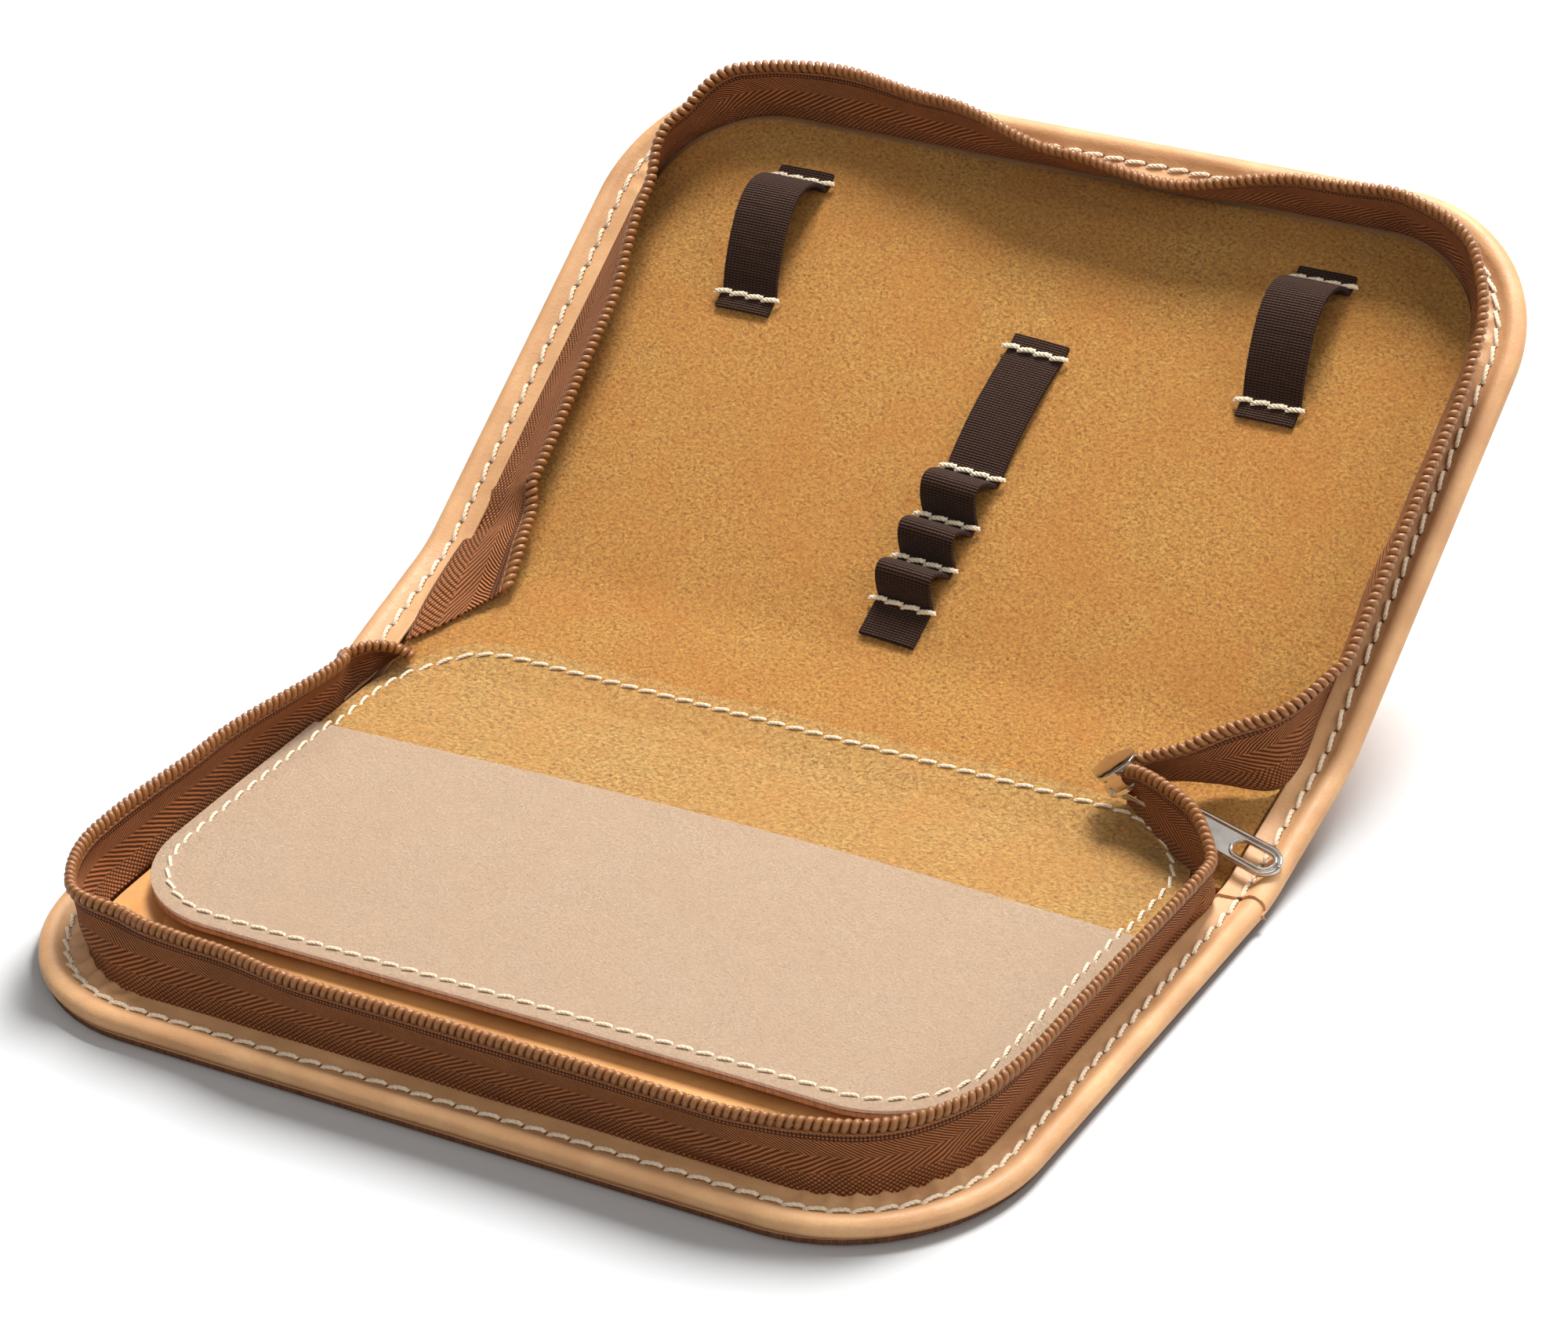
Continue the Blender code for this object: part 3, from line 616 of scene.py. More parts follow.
def wovenTape(name, light, dark):
    material, shader = newMaterial(name, weave["plain"])
    spot, forward, up = flatAxes(material)
    wobble = maths(material, "MULTIPLY", noiseOn(material, spot, *weave["wobblePatch"]), weave["wobble"])
    along = maths(material, "ADD", forward, wobble)
    lean = maths(material, "MULTIPLY", up, weave["slope"])

    broad = waves(material, maths(material, "SUBTRACT", along, lean), weave["rib"])
    strand = maths(material, "ADD", maths(material, "MULTIPLY", along, weave["slope"]), up)
    twist = spread(material, waves(material, strand, weave["twist"]), *weave["twistDepth"])
    broad = maths(material, "MULTIPLY", broad, twist)
    fine = waves(material, maths(material, "ADD", along, lean), weave["fineRib"])
    crossed = [waves(material, maths(material, kind, along, up), weave["knit"])
               for kind in ("ADD", "SUBTRACT")]
    knit = maths(material, "POWER", maths(material, "MULTIPLY", *crossed), 0.5)
    plain = maths(material, "MULTIPLY", waves(material, along, weave["plainCount"]),
                  waves(material, up, weave["plainCount"]))
    height = knit
    for level, band in ((weave["knitTop"], broad), (weave["ribTop"], fine), (weave["fineTop"], plain)):
        share = spread(material, up, level - weave["edge"], level + weave["edge"])
        height = blendValues(material, share, height, band)

    fuzz = spread(material, noiseOn(material, spot, *weave["fuzz"]), *weave["fuzzRange"])
    # painted shade and highlight: the colour runs from the dark tone in the weave's hollows to the light
    # tone on its raised threads
    base = blendColours(material, maths(material, "MULTIPLY", height, fuzz), dark, light)
    base = layer(material, base, dark, noiseOn(material, spot, *weave["clouds"]), weave["cloudsShown"])
    feed(material, shader.inputs["Base Color"], base)
    feed(material, shader.inputs["Normal"], bump(material, height, *weave["bump"]))
    return material


# ribbed elastic: fine cross ribs between lengthwise cords
ribbing = {
    "rib": 0.00052,
    "cord": 0.00078,
    "cordMiddle": 0.75,
    "cordSwing": 0.25,
    "fuzz": (0.0003, 4.0, 0.7),
    "fuzzRange": (0.25, 0.75, 0.35, 1.1),
    "bump": (0.0003, 0.9),
    "plain": {"Roughness": 0.85, "Specular IOR Level": 0.12, "Sheen Weight": 0.05},
}


def elasticWeave(name, light, dark):
    material, shader = newMaterial(name, ribbing["plain"])
    spot, along, across = flatAxes(material)
    ribs = waves(material, along, ribbing["rib"])
    cords = waves(material, across, ribbing["cord"], ribbing["cordMiddle"], ribbing["cordSwing"])
    height = maths(material, "MULTIPLY", ribs, cords)
    fuzz = spread(material, noiseOn(material, spot, *ribbing["fuzz"]), *ribbing["fuzzRange"])
    # painted shade and highlight: dark in the hollows between ribs and cords, light on their tops
    base = blendColours(material, maths(material, "MULTIPLY", height, fuzz), dark, light)
    feed(material, shader.inputs["Base Color"], base)
    feed(material, shader.inputs["Normal"], bump(material, height, *ribbing["bump"]))
    return material


def streaked(name, light, dark, look):
    # a finish with one kind of streak, which gives its colour, its bump and, where it says so, its gloss
    material, shader = newMaterial(name, look["plain"])
    streaks = noiseOn(material, spotOf(material, look["spot"]), *look["streaks"])
    feed(material, shader.inputs["Base Color"], layer(material, dark, light, streaks, look["shown"]))
    if "rough" in look:
        feed(material, shader.inputs["Roughness"], spread(material, streaks, *look["rough"]))
    feed(material, shader.inputs["Normal"], bump(material, streaks, *look["bump"]))
    return material


edgeLook = {
    "spot": "UV",
    "streaks": (0.0005, 5.0, 0.7, 1.2),
    "shown": (0.3, 0.7),
    "bump": (0.0004, 0.8),
    "plain": {"Roughness": 0.9},
}


def rawEdge(name, light, dark):
    # a cut edge, fibrous along its length
    return streaked(name, light, dark, edgeLook)


coilLook = {
    "spot": "UV",
    "streaks": (0.0009, 3.0, 0.6),
    "shown": (0.3, 0.7),
    "rough": (0.2, 0.8, 0.20, 0.32),
    "bump": (0.00008, 0.4),
    "plain": {"Specular IOR Level": 0.6},
}


def nylonCoil(name, light, dark):
    # glossy moulded turns
    return streaked(name, light, dark, coilLook)


threadLook = {
    "spot": "Object",
    "streaks": (0.00022, 4.0, 0.7, 0.4),
    "shown": (0.32, 0.66),
    "bump": (0.00012, 0.6),
    "plain": {"Roughness": 0.72, "Sheen Weight": 0.15},
}


def threadFinish(name, light, dark):
    return streaked(name, light, dark, threadLook)


boardLook = {
    "spot": "Object",
    "streaks": (0.0012, 5.0, 0.7),
    "shown": (0.3, 0.7),
    "bump": (0.0002, 0.6),
    "plain": {"Roughness": 0.92},
}


def boardFinish(name, light, dark):
    return streaked(name, light, dark, boardLook)


metalLook = {
    "clouds": (0.004, 3.0),
    "cloudsShown": (0.35, 0.7),
    "cloudsRange": (0.3, 0.75),
    "rougher": 0.10,
    "scratches": (0.0005, 4.0, 0.7),
    "scratchBump": (0.000008, 0.1),
    "plain": {"Metallic": 1.0},
}


def polishedNickel(name, light, dark, haze):
    material, shader = newMaterial(name, metalLook["plain"])
    spot = spotOf(material, "Object")
    clouds = noiseOn(material, spot, *metalLook["clouds"])
    scratches = noiseOn(material, spot, *metalLook["scratches"])
    base = layer(material, dark, light, clouds, metalLook["cloudsShown"])
    feed(material, shader.inputs["Base Color"], base)
    rough = spread(material, clouds, *metalLook["cloudsRange"], haze, haze + metalLook["rougher"])
    feed(material, shader.inputs["Roughness"], rough)
    feed(material, shader.inputs["Normal"], bump(material, scratches, *metalLook["scratchBump"]))
    return material


outerLeather = smoothLeather("outer leather", tone(198, 152, 108), tone(184, 136, 94), 0.56)
floorLeather = smoothLeather("tray floor leather", tone(226, 168, 104), tone(204, 142, 82))
cutEdge = rawEdge("cut edge of the outer leather", tone(128, 82, 56), tone(58, 32, 20))
liningSuede = suede("lining suede", tone(253, 194, 100), tone(156, 76, 22), tone(226, 136, 56),
                    0.0008, 0.35)
leafSuede = suede("leaf suede", tone(254, 206, 122), tone(154, 84, 28), tone(238, 160, 78),
                  0.0010, 0.4)
leafEdge = rawEdge("leaf edge", tone(204, 158, 122), tone(146, 100, 72))
fleshSide = suede("pocket flesh side", tone(234, 204, 174), tone(206, 172, 138), tone(224, 186, 154),
                  0.0006, 0.2, tone(182, 138, 108))
pocketEdge = rawEdge("pocket edge", tone(232, 216, 208), tone(196, 174, 164))
# the zip tape's dark tone is painted shade in the hollows of its weave
zipTape = wovenTape("zip tape", tone(208, 126, 70), tone(56, 27, 13))
zipCoil = nylonCoil("zip coil", tone(170, 112, 60), tone(102, 60, 28))
zipCore = threadFinish("zip core cord", tone(110, 66, 34), tone(60, 32, 16))
zipSewing = threadFinish("zip sewing thread", tone(158, 98, 54), tone(96, 54, 26))
linenThread = threadFinish("linen thread", tone(248, 234, 208), tone(206, 182, 148))
# the elastic's dark tone is painted shade in the hollows between its ribs
darkElastic = elasticWeave("dark elastic", tone(92, 62, 46), tone(26, 15, 10))
nickel = polishedNickel("polished nickel", tone(226, 220, 212), tone(206, 198, 188), 0.07)
brushedNickel = polishedNickel("sunk face of the pull", tone(226, 220, 212), tone(206, 198, 188), 0.20)
stiffener = boardFinish("stiffener board", tone(150, 132, 108), tone(110, 94, 74))
cotton = threadFinish("edge cord cotton", tone(214, 204, 184), tone(170, 158, 134))
print("materials ready")


# sheets of leather

leather = {
    "cover": 0.0011,
    "lining": 0.0008,
    "floor": 0.0015,
    "liningInset": 0.0102,
    "liningStart": 0.0006,
    "floorStart": -0.0024,
    "liningTop": 0.0030,
    "floorTop": 0.0037,
    "sideTrim": 0.0011,
    "coverEdge": 0.00018,
    "sheetEdge": 0.00015,
    "cornerSteps": 14,
    "middleSteps": 90,
    "coverRows": 70,
    "floorRows": 60,
    "liningRows": 90,
    # the board under a sheet: how far in it ends, the drop there and the faint ridge beside it
    "boardInset": 0.0165,
    "boardStep": 0.0004,
    "dropWidth": 0.0030,
    "ridge": 0.00012,
    "ridgePlace": 0.0008,
    "ridgeWidth": 0.0012,
    "hill": 0.00016,
    "hillsPerMetre": 45,
}


def sheetAcross(width, radius, cornerSteps=leather["cornerSteps"], middleSteps=leather["middleSteps"]):
    # places across a sheet, closer at its rounded corners, with how far each falls short of the front
    corner = []
    for step in range(cornerSteps):
        turn = math.pi / 2 * step / cornerSteps
        corner.append((width / 2 - radius * (1 - math.cos(turn)), radius * (1 - math.sin(turn))))
    straight = width - 2 * radius
    middle = [(-width / 2 + radius + straight * step / middleSteps, 0.0)
              for step in range(middleSteps + 1)]
    return [(-across, short) for across, short in corner] + middle + corner[::-1]


def edgeDistance(across, along, side):
    # how far a place is from the outer edge of its half
    out = -along if side < 0 else along - case["spineWidth"]
    radius = case["cornerRadius"]
    sideWays = case["length"] / 2 - abs(across)
    ahead = case["halfDepth"] - out
    if sideWays < radius and ahead < radius:
        return radius - math.hypot(radius - sideWays, radius - ahead)
    return min(sideWays, ahead)


def halfSheet(name, inset, start, side, rows, height):
    # one half's sheet, from start (measured on the flat case) to its rounded outer edge
    places = sheetAcross(case["length"] - 2 * inset, case["cornerRadius"] - inset)
    far = case["halfDepth"] - inset

    def place(u, v):
        across, short = pick(places, u)
        end = -(far - short) if side < 0 else case["spineWidth"] + far - short
        along = start + (end - start) * v
        toEdge = edgeDistance(across, along, side)
        return onCase(across, along, height(across, along, toEdge)), (across, along)

    piece = addSheet(name, len(places) - 1, rows, place)
    if side < 0:
        turnOver(piece)
    return piece


def boardShape(top):
    # the sheet drops where the stiffener under it ends, and a faint ridge marks that edge
    def height(across, along, toEdge):
        past = toEdge - leather["boardInset"]
        drop = leather["boardStep"] * (1 - eased(past / leather["dropWidth"] + 0.5))
        fromRidge = (past - leather["ridgePlace"]) / leather["ridgeWidth"]
        ridge = leather["ridge"] * math.exp(-fromRidge ** 2)
        return top - drop + ridge + leather["hill"] * hills(across, along, leather["hillsPerMetre"], 3.0)
    return height


def coverPiece(name, side):
    start = case["spineWidth"] / 2
    piece = halfSheet(name, 0.0, start, side, leather["coverRows"], lambda across, along, toEdge: 0.0)
    for vertex in piece.data.vertices:
        vertex.co.x *= 1 - leather["sideTrim"] / (case["length"] / 2)
    setFinish(piece, outerLeather, cutEdge)
    return thicken(piece, leather["cover"], 1.0, leather["coverEdge"], 1)


def innerPiece(name, side, part, finish):
    shape = boardShape(leather[part + "Top"])
    start = leather[part + "Start"]
    piece = halfSheet(name, leather["liningInset"], start, side, leather[part + "Rows"], shape)
    setFinish(piece, finish)
    return thicken(piece, leather[part], -1.0, leather["sheetEdge"])


def bend(piece, side, inner=case["foldReach"], outer=case["foldReach"]):
    # sets the piece's place into its mesh, the same for either half; inner and outer are not used
    if side < 0:
        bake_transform(piece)
    else:
        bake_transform(piece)


coverLower = coverPiece("cover_lower_leather", -1)
coverUpper = coverPiece("cover_upper_leather", 1)
trayFloor = innerPiece("tray_floor", -1, "floor", floorLeather)
suedeLining = innerPiece("suede_lining", 1, "lining", liningSuede)
print("leather sheets ready")


# the bound edge: a bead over a cord, and the strip that is stitched down beside it

binding = {
    "wrap": 0.0010,
    # the strip's section in millimetres: how far in from the edge, and how high
    "line": ((0.30, 1.38), (0.02, 1.85), (0.0, 2.35), (0.30, 3.35), (1.10, 4.10), (2.15, 4.38),
             (3.15, 4.18), (4.00, 3.70), (4.70, 3.26), (5.25, 3.04), (5.80, 3.14), (6.80, 3.20),
             (8.00, 3.36), (8.90, 3.52), (9.25, 3.42), (9.35, 3.10)),
    "lineSteps": 3,
    "columns": 440,
    "hills": (60, 9.0, 500),
    "beadWave": 0.00012,
    "waveFrom": 0.0004,
    "pleats": 9,
    "pleatDepth": 0.00060,
    "pleatFrom": 0.0054,
    "pleatRise": 0.002,
    "pleatFloor": -0.2,
    "pleatDrift": 1.3,
    # where the two ends of the strip overlap on the lower half, past the lower fold on the right
    "lapPlace": 0.0030,
    "lapColumns": (-0.0003, -0.00004, 0.00004, 0.0003),
    "lapReach": 0.012,
    "lapStep": 0.00055,
    "lapFade": 0.004,
    "lapBow": 0.0016,
    "lapBend": 0.003,
    "lapBead": 0.001,
    "cord": 0.0009,
    "cordInset": 0.00215,
    "cordHeight": 0.00225,
    "cordSteps": 300,
}

# the stitch that is used everywhere, and where it runs on the bound edge
stitching = {
    "pitch": 0.00465,
    "length": 0.0040,
    "plies": 3,
    "ply": 0.00023,
    "steps": 13,
    "twist": 0.00024,
    "flatness": 0.7,
    "turns": 1.4,
    "rise": 0.00050,
    "squareness": 3.5,
    "sink": 0.00012,
    "slant": math.radians(11),
    "wobble": 0.10,
    "wobbleHills": 1.7,
    "inset": 0.0053,
    "height": 0.0031,
}


def bindingProfile():
    # (inset, height) over the strip's section, and the length run at each
    line = [Vector((inset, height, 0)) / 1000 for inset, height in binding["line"]]
    profile = curveThrough(line, binding["lineSteps"])
    return profile, lengthsAlong(profile)


def seamMarks():
    # where the stitch line runs on the flat strip
    profile, lengths = bindingProfile()
    outerHalf = [number for number, length in enumerate(lengths) if length >= lengths[-1] / 2]
    nearest = min(outerHalf, key=lambda number: abs(profile[number].x - stitching["inset"]))
    return {"place": lengths[nearest], "pitch": rimLength() / round(rimLength() / stitching["pitch"])}


def bindingPiece(name, side):
    profile, lengths = bindingProfile()
    total = rimLength()
    lap = total - case["spineWidth"] / 2 - binding["lapPlace"]
    distances = [total * step / binding["columns"] for step in range(binding["columns"] + 1)]
    distances = sorted(distances + [lap + step for step in binding["lapColumns"]])
    alongHills, sideHills, acrossHills = binding["hills"]

    def place(u, v):
        distance = pick(distances, u)
        number = round(v * (len(profile) - 1))
        inset = profile[number].x
        height = profile[number].y
        past = distance - lap
        if side < 0 and abs(past) < binding["lapReach"]:
            step = 0.0 if past < 0 else binding["lapStep"] * math.exp(-past / binding["lapFade"])
            bow = math.sin(math.pi * number / (len(profile) - 1))
            height += step
            inset -= step / 2 if inset < binding["lapBead"] else 0.0
            distance += binding["lapBow"] * bow * math.exp(-(past / binding["lapBend"]) ** 2)
        wave = noise.noise(Vector((distance * alongHills, side * sideHills, inset * acrossHills)))
        height += binding["beadWave"] * wave * (1 if inset > binding["waveFrom"] else 0)
        corner = cornerNear(distance)
        if corner > 0 and inset > binding["pleatFrom"]:
            turn = rimFlat(distance, 0)[2]
            pleat = math.sin(2 * math.pi * binding["pleats"] * turn + binding["pleatDrift"] * wave)
            depth = binding["pleatDepth"] * corner ** 0.5 * max(pleat, binding["pleatFloor"])
            height += depth * eased((inset - binding["pleatFrom"]) / binding["pleatRise"])
        return onRim(side, distance, inset, height), (distance, lengths[number])

    piece = addSheet(name, len(distances) - 1, len(profile) - 1, place)
    if side > 0:
        turnOver(piece)
    setFinish(piece, rimLeather)
    return thicken(piece, binding["wrap"], -1.0)


def edgeCord(name, side):
    steps = binding["cordSteps"]
    run = [onRim(side, rimLength() * step / steps, binding["cordInset"], binding["cordHeight"])
           for step in range(steps + 1)]
    piece = addTubes(name, [run], binding["cord"])
    setFinish(piece, cotton)
    return piece


rimLeather = boundLeather("rim leather", tone(212, 166, 119), tone(184, 136, 94), seamMarks())
bindingLower = bindingPiece("binding_lower_leather", -1)
bindingUpper = bindingPiece("binding_upper_leather", 1)
cordLower = edgeCord("cord_lower", -1)
cordUpper = edgeCord("cord_upper", 1)
print("bound edge ready")


# stitches, all from one: plies that twist round each other and dip into the leather at both ends

def stitchShape(name, length, scale=1.0):
    runs = []
    for strand in range(stitching["plies"]):
        run = []
        for step in range(stitching["steps"] + 1):
            share = step / stitching["steps"]
            arch = 1 - abs(2 * share - 1) ** stitching["squareness"]
            lift = stitching["rise"] * scale * arch - stitching["sink"]
            turn = 2 * math.pi * (strand / stitching["plies"] + stitching["turns"] * share)
            swing = stitching["twist"] * scale
            run.append(Vector(((share - 0.5) * length, swing * math.cos(turn),
                               lift + swing * math.sin(turn) * stitching["flatness"])))
        runs.append(run)
    piece = addTubes(name, runs, stitching["ply"] * scale)
    piece.data.transform(Matrix.Rotation(stitching["slant"], 4, "Z"))
    return piece


def sewLine(name, shape, places):
    # a copy of the stitch, with its own mesh, at each place
    copies = []
    for number, place in enumerate(places):
        copy = shape.copy()
        copy.data = shape.data.copy()
        unevenness = noise.noise(Vector((number * stitching["wobbleHills"], 5.0, 0.3)))
        copy.matrix_world = place @ Matrix.Rotation(stitching["wobble"] * unevenness, 4, "Z")
        bpy.context.scene.collection.objects.link(copy)
        copies.append(copy)
    piece = joinAll(name, copies)
    applyPlace(piece)
    setFinish(piece, linenThread)
    return piece


def rimStitches(name, side):
    shape = stitchShape("rim stitch", stitching["length"])
    count = round(rimLength() / stitching["pitch"])
    places = []
    for number in range(count):
        distance = (number + 0.5) * rimLength() / count
        places.append(frameOn(lambda forward, over: onRim(
            side, distance + forward, stitching["inset"], stitching["height"] + over)))
    piece = sewLine(name, shape, places)
    bpy.data.objects.remove(shape)
    return piece


stitchesLower = rimStitches("stitches_lower_rim", -1)
stitchesUpper = rimStitches("stitches_upper_rim", 1)
print("rim stitches ready")


# the zip: two tapes that stand round the halves and run free over the spine to the slider

zipper = {
    "wallInset": 0.0096,
    "footHeight": 0.0039,
    "wallLength": 0.0116,
    "wallStart": 0.0150,
    "wallSteps": 380,
    "hemInset": 0.0084,
    "hemHeight": 0.0019,
    "freeSteps": 8,
    "freeHem": 0.0008,
    "tape": 0.0005,
    "flatHem": 0.0020,
    "flatWall": 0.0142,
    "rows": 16,
    "waist": 0.4,
    "belly": 0.0005,
    "bellyWave": 0.00045,
    "bellyHills": (70, 1.6, 4.0),
    # puckers at the corners: their depth, how far up they go, the foot's turn that gives them in full
    "pucker": 0.0007,
    "puckerTop": 0.75,
    "puckerTurn": 0.22,
    "puckerMost": 1.3,
    "puckerReach": 8,
    "puckerHills": (230, 0.8, 2.0),
    # the coil and its sewing
    "coilHeight": 0.0029,
    "coilWidth": 0.0024,
    "coilSink": 0.0003,
    "strand": 0.00066,
    "core": 0.00040,
    "pitch": 0.00156,
    "turnSteps": 10,
    "coreEvery": 4,
    "seamEvery": 2,
    "seamThread": 0.00026,
    "seamRaise": 0.0001,
    "seamOut": 0.00045,
    "seamBeat": (0.00012, 0.00010),
    # two reaches, over the spine and over the half, handed to bend() for the tapes
    "bend": (0.0025, 0.0070),
    # how far the walls lean outwards, in degrees, at places from their left end to their right end
    "places": (0.0, 0.10, 0.17, 0.245, 0.30, 0.36, 0.42, 0.50, 0.56, 0.64, 0.70, 0.76, 0.86, 1.0),
    "lowerLean": (-20, 2, 12, 8, -16, -8, 4, 4, 5, 8, -4, 0, 14, 18),
    "upperLean": (-60, -54, -38, -16, 12, 26, 12, -16, -26, 0, 6, 18, 32, 30),
}

# free ends in the spine's own frame, in millimetres: across, up the spine, over the lining
freeEnds = {
    "lowerRight": {
        "top": ((92.4, -3.8, 12.6), (85.0, 4.6, 12.7), (77.0, 8.8, 12.4), (70.8, 11.2, 11.6),
                (66.5, 12.4, 9.9)),
        "waist": ((91.0, -4.4, 5.2), (84.0, 2.2, 5.2), (76.4, 6.8, 5.2), (71.0, 9.8, 5.4),
                  (66.0, 12.2, 5.6)),
        "foot": ((90.0, -4.6, 0.9), (83.6, 1.0, 0.8), (76.4, 5.8, 0.8), (70.8, 9.6, 0.9),
                 (65.5, 13.2, 1.0)),
    },
    "upperRight": {
        "top": ((91.5, 31.3, 14.3), (82.5, 23.8, 13.3), (76.5, 19.0, 12.2), (70.8, 16.2, 11.3),
                (67.5, 14.6, 9.8)),
        "foot": ((91.2, 31.5, 1.0), (89.0, 24.5, 1.2), (80.0, 21.6, 2.8), (73.5, 18.6, 4.6),
                 (68.5, 16.0, 5.2)),
    },
    "lowerLeft": {
        "top": ((-90.4, -6.4, 10.9), (-88.6, -1.6, 9.2), (-86.0, 1.9, 6.6), (-84.4, 4.4, 3.0)),
        "foot": ((-91.3, -6.0, 0.6), (-91.0, 0.0, 0.6), (-89.6, 4.4, 0.5), (-87.2, 7.8, 0.4)),
    },
    "upperLeft": {
        "top": ((-79.2, 42.0, 6.8), (-77.9, 35.2, 5.6), (-77.0, 29.6, 3.8), (-76.3, 24.8, 2.2)),
        "foot": ((-91.5, 41.0, 1.4), (-91.2, 31.0, 1.2), (-90.4, 20.0, 1.0), (-88.8, 9.6, 0.8)),
    },
}


def wallColumn(side, distance):
    # top, foot, waist and hem of the tape where it stands on a half
    start = case["spineWidth"] / 2 + zipper["wallStart"]
    share = (distance - start) / (rimLength() - 2 * start)
    leans = zipper["lowerLean" if side < 0 else "upperLean"]
    lean = math.radians(easedBetween(zipper["places"], leans, share))
    inset = zipper["wallInset"]
    height = zipper["footHeight"]
    hem = onRim(side, distance, zipper["hemInset"], zipper["hemHeight"])
    foot = onRim(side, distance, inset, height)
    top = onRim(side, distance, inset - math.sin(lean) * zipper["wallLength"],
                height + math.cos(lean) * zipper["wallLength"])
    return [top, foot, foot.lerp(top, zipper["waist"]), hem]


def freeColumns(wallEnd, name):
    # the tape's columns from the end of its wall to its free end
    lines = freeEnds[name]
    found = {part: [fromSpine(*(Vector(place) / 1000)) for place in lines[part]] for part in lines}
    if "waist" not in found:
        pairs = zip(found["top"], found["foot"])
        found["waist"] = [foot.lerp(top, zipper["waist"]) for top, foot in pairs]
    runs = []
    for number, part in enumerate(("top", "foot", "waist")):
        runs.append(curveThrough([wallEnd[number]] + found[part], zipper["freeSteps"])[1:])
    return [[top, foot, waist, foot + (foot - top).normalized() * zipper["freeHem"]]
            for top, foot, waist in zip(*runs)]


def tapeColumns(side, word):
    start = case["spineWidth"] / 2 + zipper["wallStart"]
    run = rimLength() - 2 * start
    steps = zipper["wallSteps"]
    wall = [wallColumn(side, start + run * step / steps) for step in range(steps + 1)]
    left = freeColumns(wall[0], word + "Left")
    right = freeColumns(wall[-1], word + "Right")
    return left[::-1] + wall + right


def around(columns, number, reach=1):
    # the column, and the ones before and after it
    last = len(columns) - 1
    return columns[max(number - reach, 0)], columns[number], columns[min(number + reach, last)]


def footTurn(columns, number):
    # how sharply the foot of the tape turns here, 0 on a straight run and about 1 at a corner
    before, here, after = (column[1] for column in around(columns, number, zipper["puckerReach"]))
    first = here - before
    second = after - here
    if not (first.length and second.length):
        return 0.0
    return min(first.angle(second) / zipper["puckerTurn"], zipper["puckerMost"])


def tapeBulge(side, length, share, turn):
    # how far the cloth stands out sideways, with puckers low down where its foot turns
    alongHills, upHills, sideHills = zipper["bellyHills"]
    wave = noise.noise(Vector((length * alongHills, share * upHills, side * sideHills)))
    swell = math.sin(math.pi * share)
    bulge = zipper["belly"] * swell * (1 + wave) + zipper["bellyWave"] * wave * swell ** 0.5
    if share < zipper["puckerTop"]:
        alongHills, upHills, sideHills = zipper["puckerHills"]
        ripple = noise.noise(Vector((length * alongHills, share * upHills, side * sideHills + 7)))
        bulge += zipper["pucker"] * ripple * math.sin(math.pi * share / zipper["puckerTop"]) * turn
    return bulge


def throughWaist(foot, waist, top, share):
    middle = zipper["waist"]
    return (foot * ((share - middle) * (share - 1) / middle)
            + waist * (share * (share - 1) / (middle * (middle - 1)))
            + top * (share * (share - middle) / (1 - middle)))


def zipTapePiece(name, side, columns):
    rows = zipper["rows"]
    edges = [lengthsAlong([column[part] for column in columns]) for part in (0, 1)]
    lengths = [(top + foot) / 2 for top, foot in zip(*edges)]

    def place(u, v):
        number = round(u * (len(columns) - 1))
        before, (top, foot, waist, hem), after = around(columns, number)
        row = round(v * rows)
        if row == 0:
            return hem, (lengths[number], -zipper["flatHem"])
        share = (row - 1) / (rows - 1)
        sideways = (after[0] - before[0] + after[1] - before[1]).cross(top - foot).normalized()
        bulge = sideways * tapeBulge(side, lengths[number], share, footTurn(columns, number))
        flat = (lengths[number], zipper["flatWall"] * share)
        return throughWaist(foot, waist, top, share) + bulge, flat

    piece = addSheet(name, len(columns) - 1, rows, place)
    setFinish(piece, zipTape)
    return thicken(piece, zipper["tape"], 0.0)


def coilPath(columns):
    # the coil's middle line at even steps, with the ways up and sideways
    path = []
    for number in range(len(columns)):
        before, (top, foot, waist, hem), after = around(columns, number)
        up = (top - foot).normalized()
        sideways = (after[0] - before[0]).cross(up).normalized()
        path.append([top + up * (zipper["coilHeight"] / 2 - zipper["coilSink"]), up, sideways])
    return evenly(path, zipper["pitch"] / zipper["turnSteps"])


def coilPiece(name, columns, hand):
    # turns of nylon along the top of the tape, sewn down through their middle
    path = coilPath(columns)
    steps = zipper["turnSteps"]
    wide = zipper["coilWidth"] / 2 - zipper["strand"]
    tall = zipper["coilHeight"] / 2 - zipper["strand"]
    turns = []
    for number, (at, up, sideways) in enumerate(path):
        turn = 2 * math.pi * number / steps * hand
        turns.append(at + up * tall * math.sin(turn) + sideways * wide * math.cos(turn))
    coil = addTubes(name, [turns], zipper["strand"])
    setFinish(coil, zipCoil)
    middle = [at for at, up, sideways in path[::zipper["coreEvery"]]]
    core = addTubes(name + "_core", [middle], zipper["core"])
    setFinish(core, zipCore)
    coil = joinAll(name, [coil, core])
    drop, swing = zipper["seamBeat"]
    seams = []
    for face in (-1, 1):
        seam = []
        for number, (at, up, sideways) in enumerate(path[::zipper["seamEvery"]]):
            beat = math.sin(2 * math.pi * number / (steps / zipper["seamEvery"]))
            low = zipper["coilHeight"] / 2 - zipper["seamRaise"] - drop * beat
            seam.append(at - up * low + sideways * face * (zipper["seamOut"] + swing * beat))
        seams.append(seam)
    sewing = addTubes(name + "_sewing", seams, zipper["seamThread"])
    setFinish(sewing, zipSewing)
    return coil, sewing


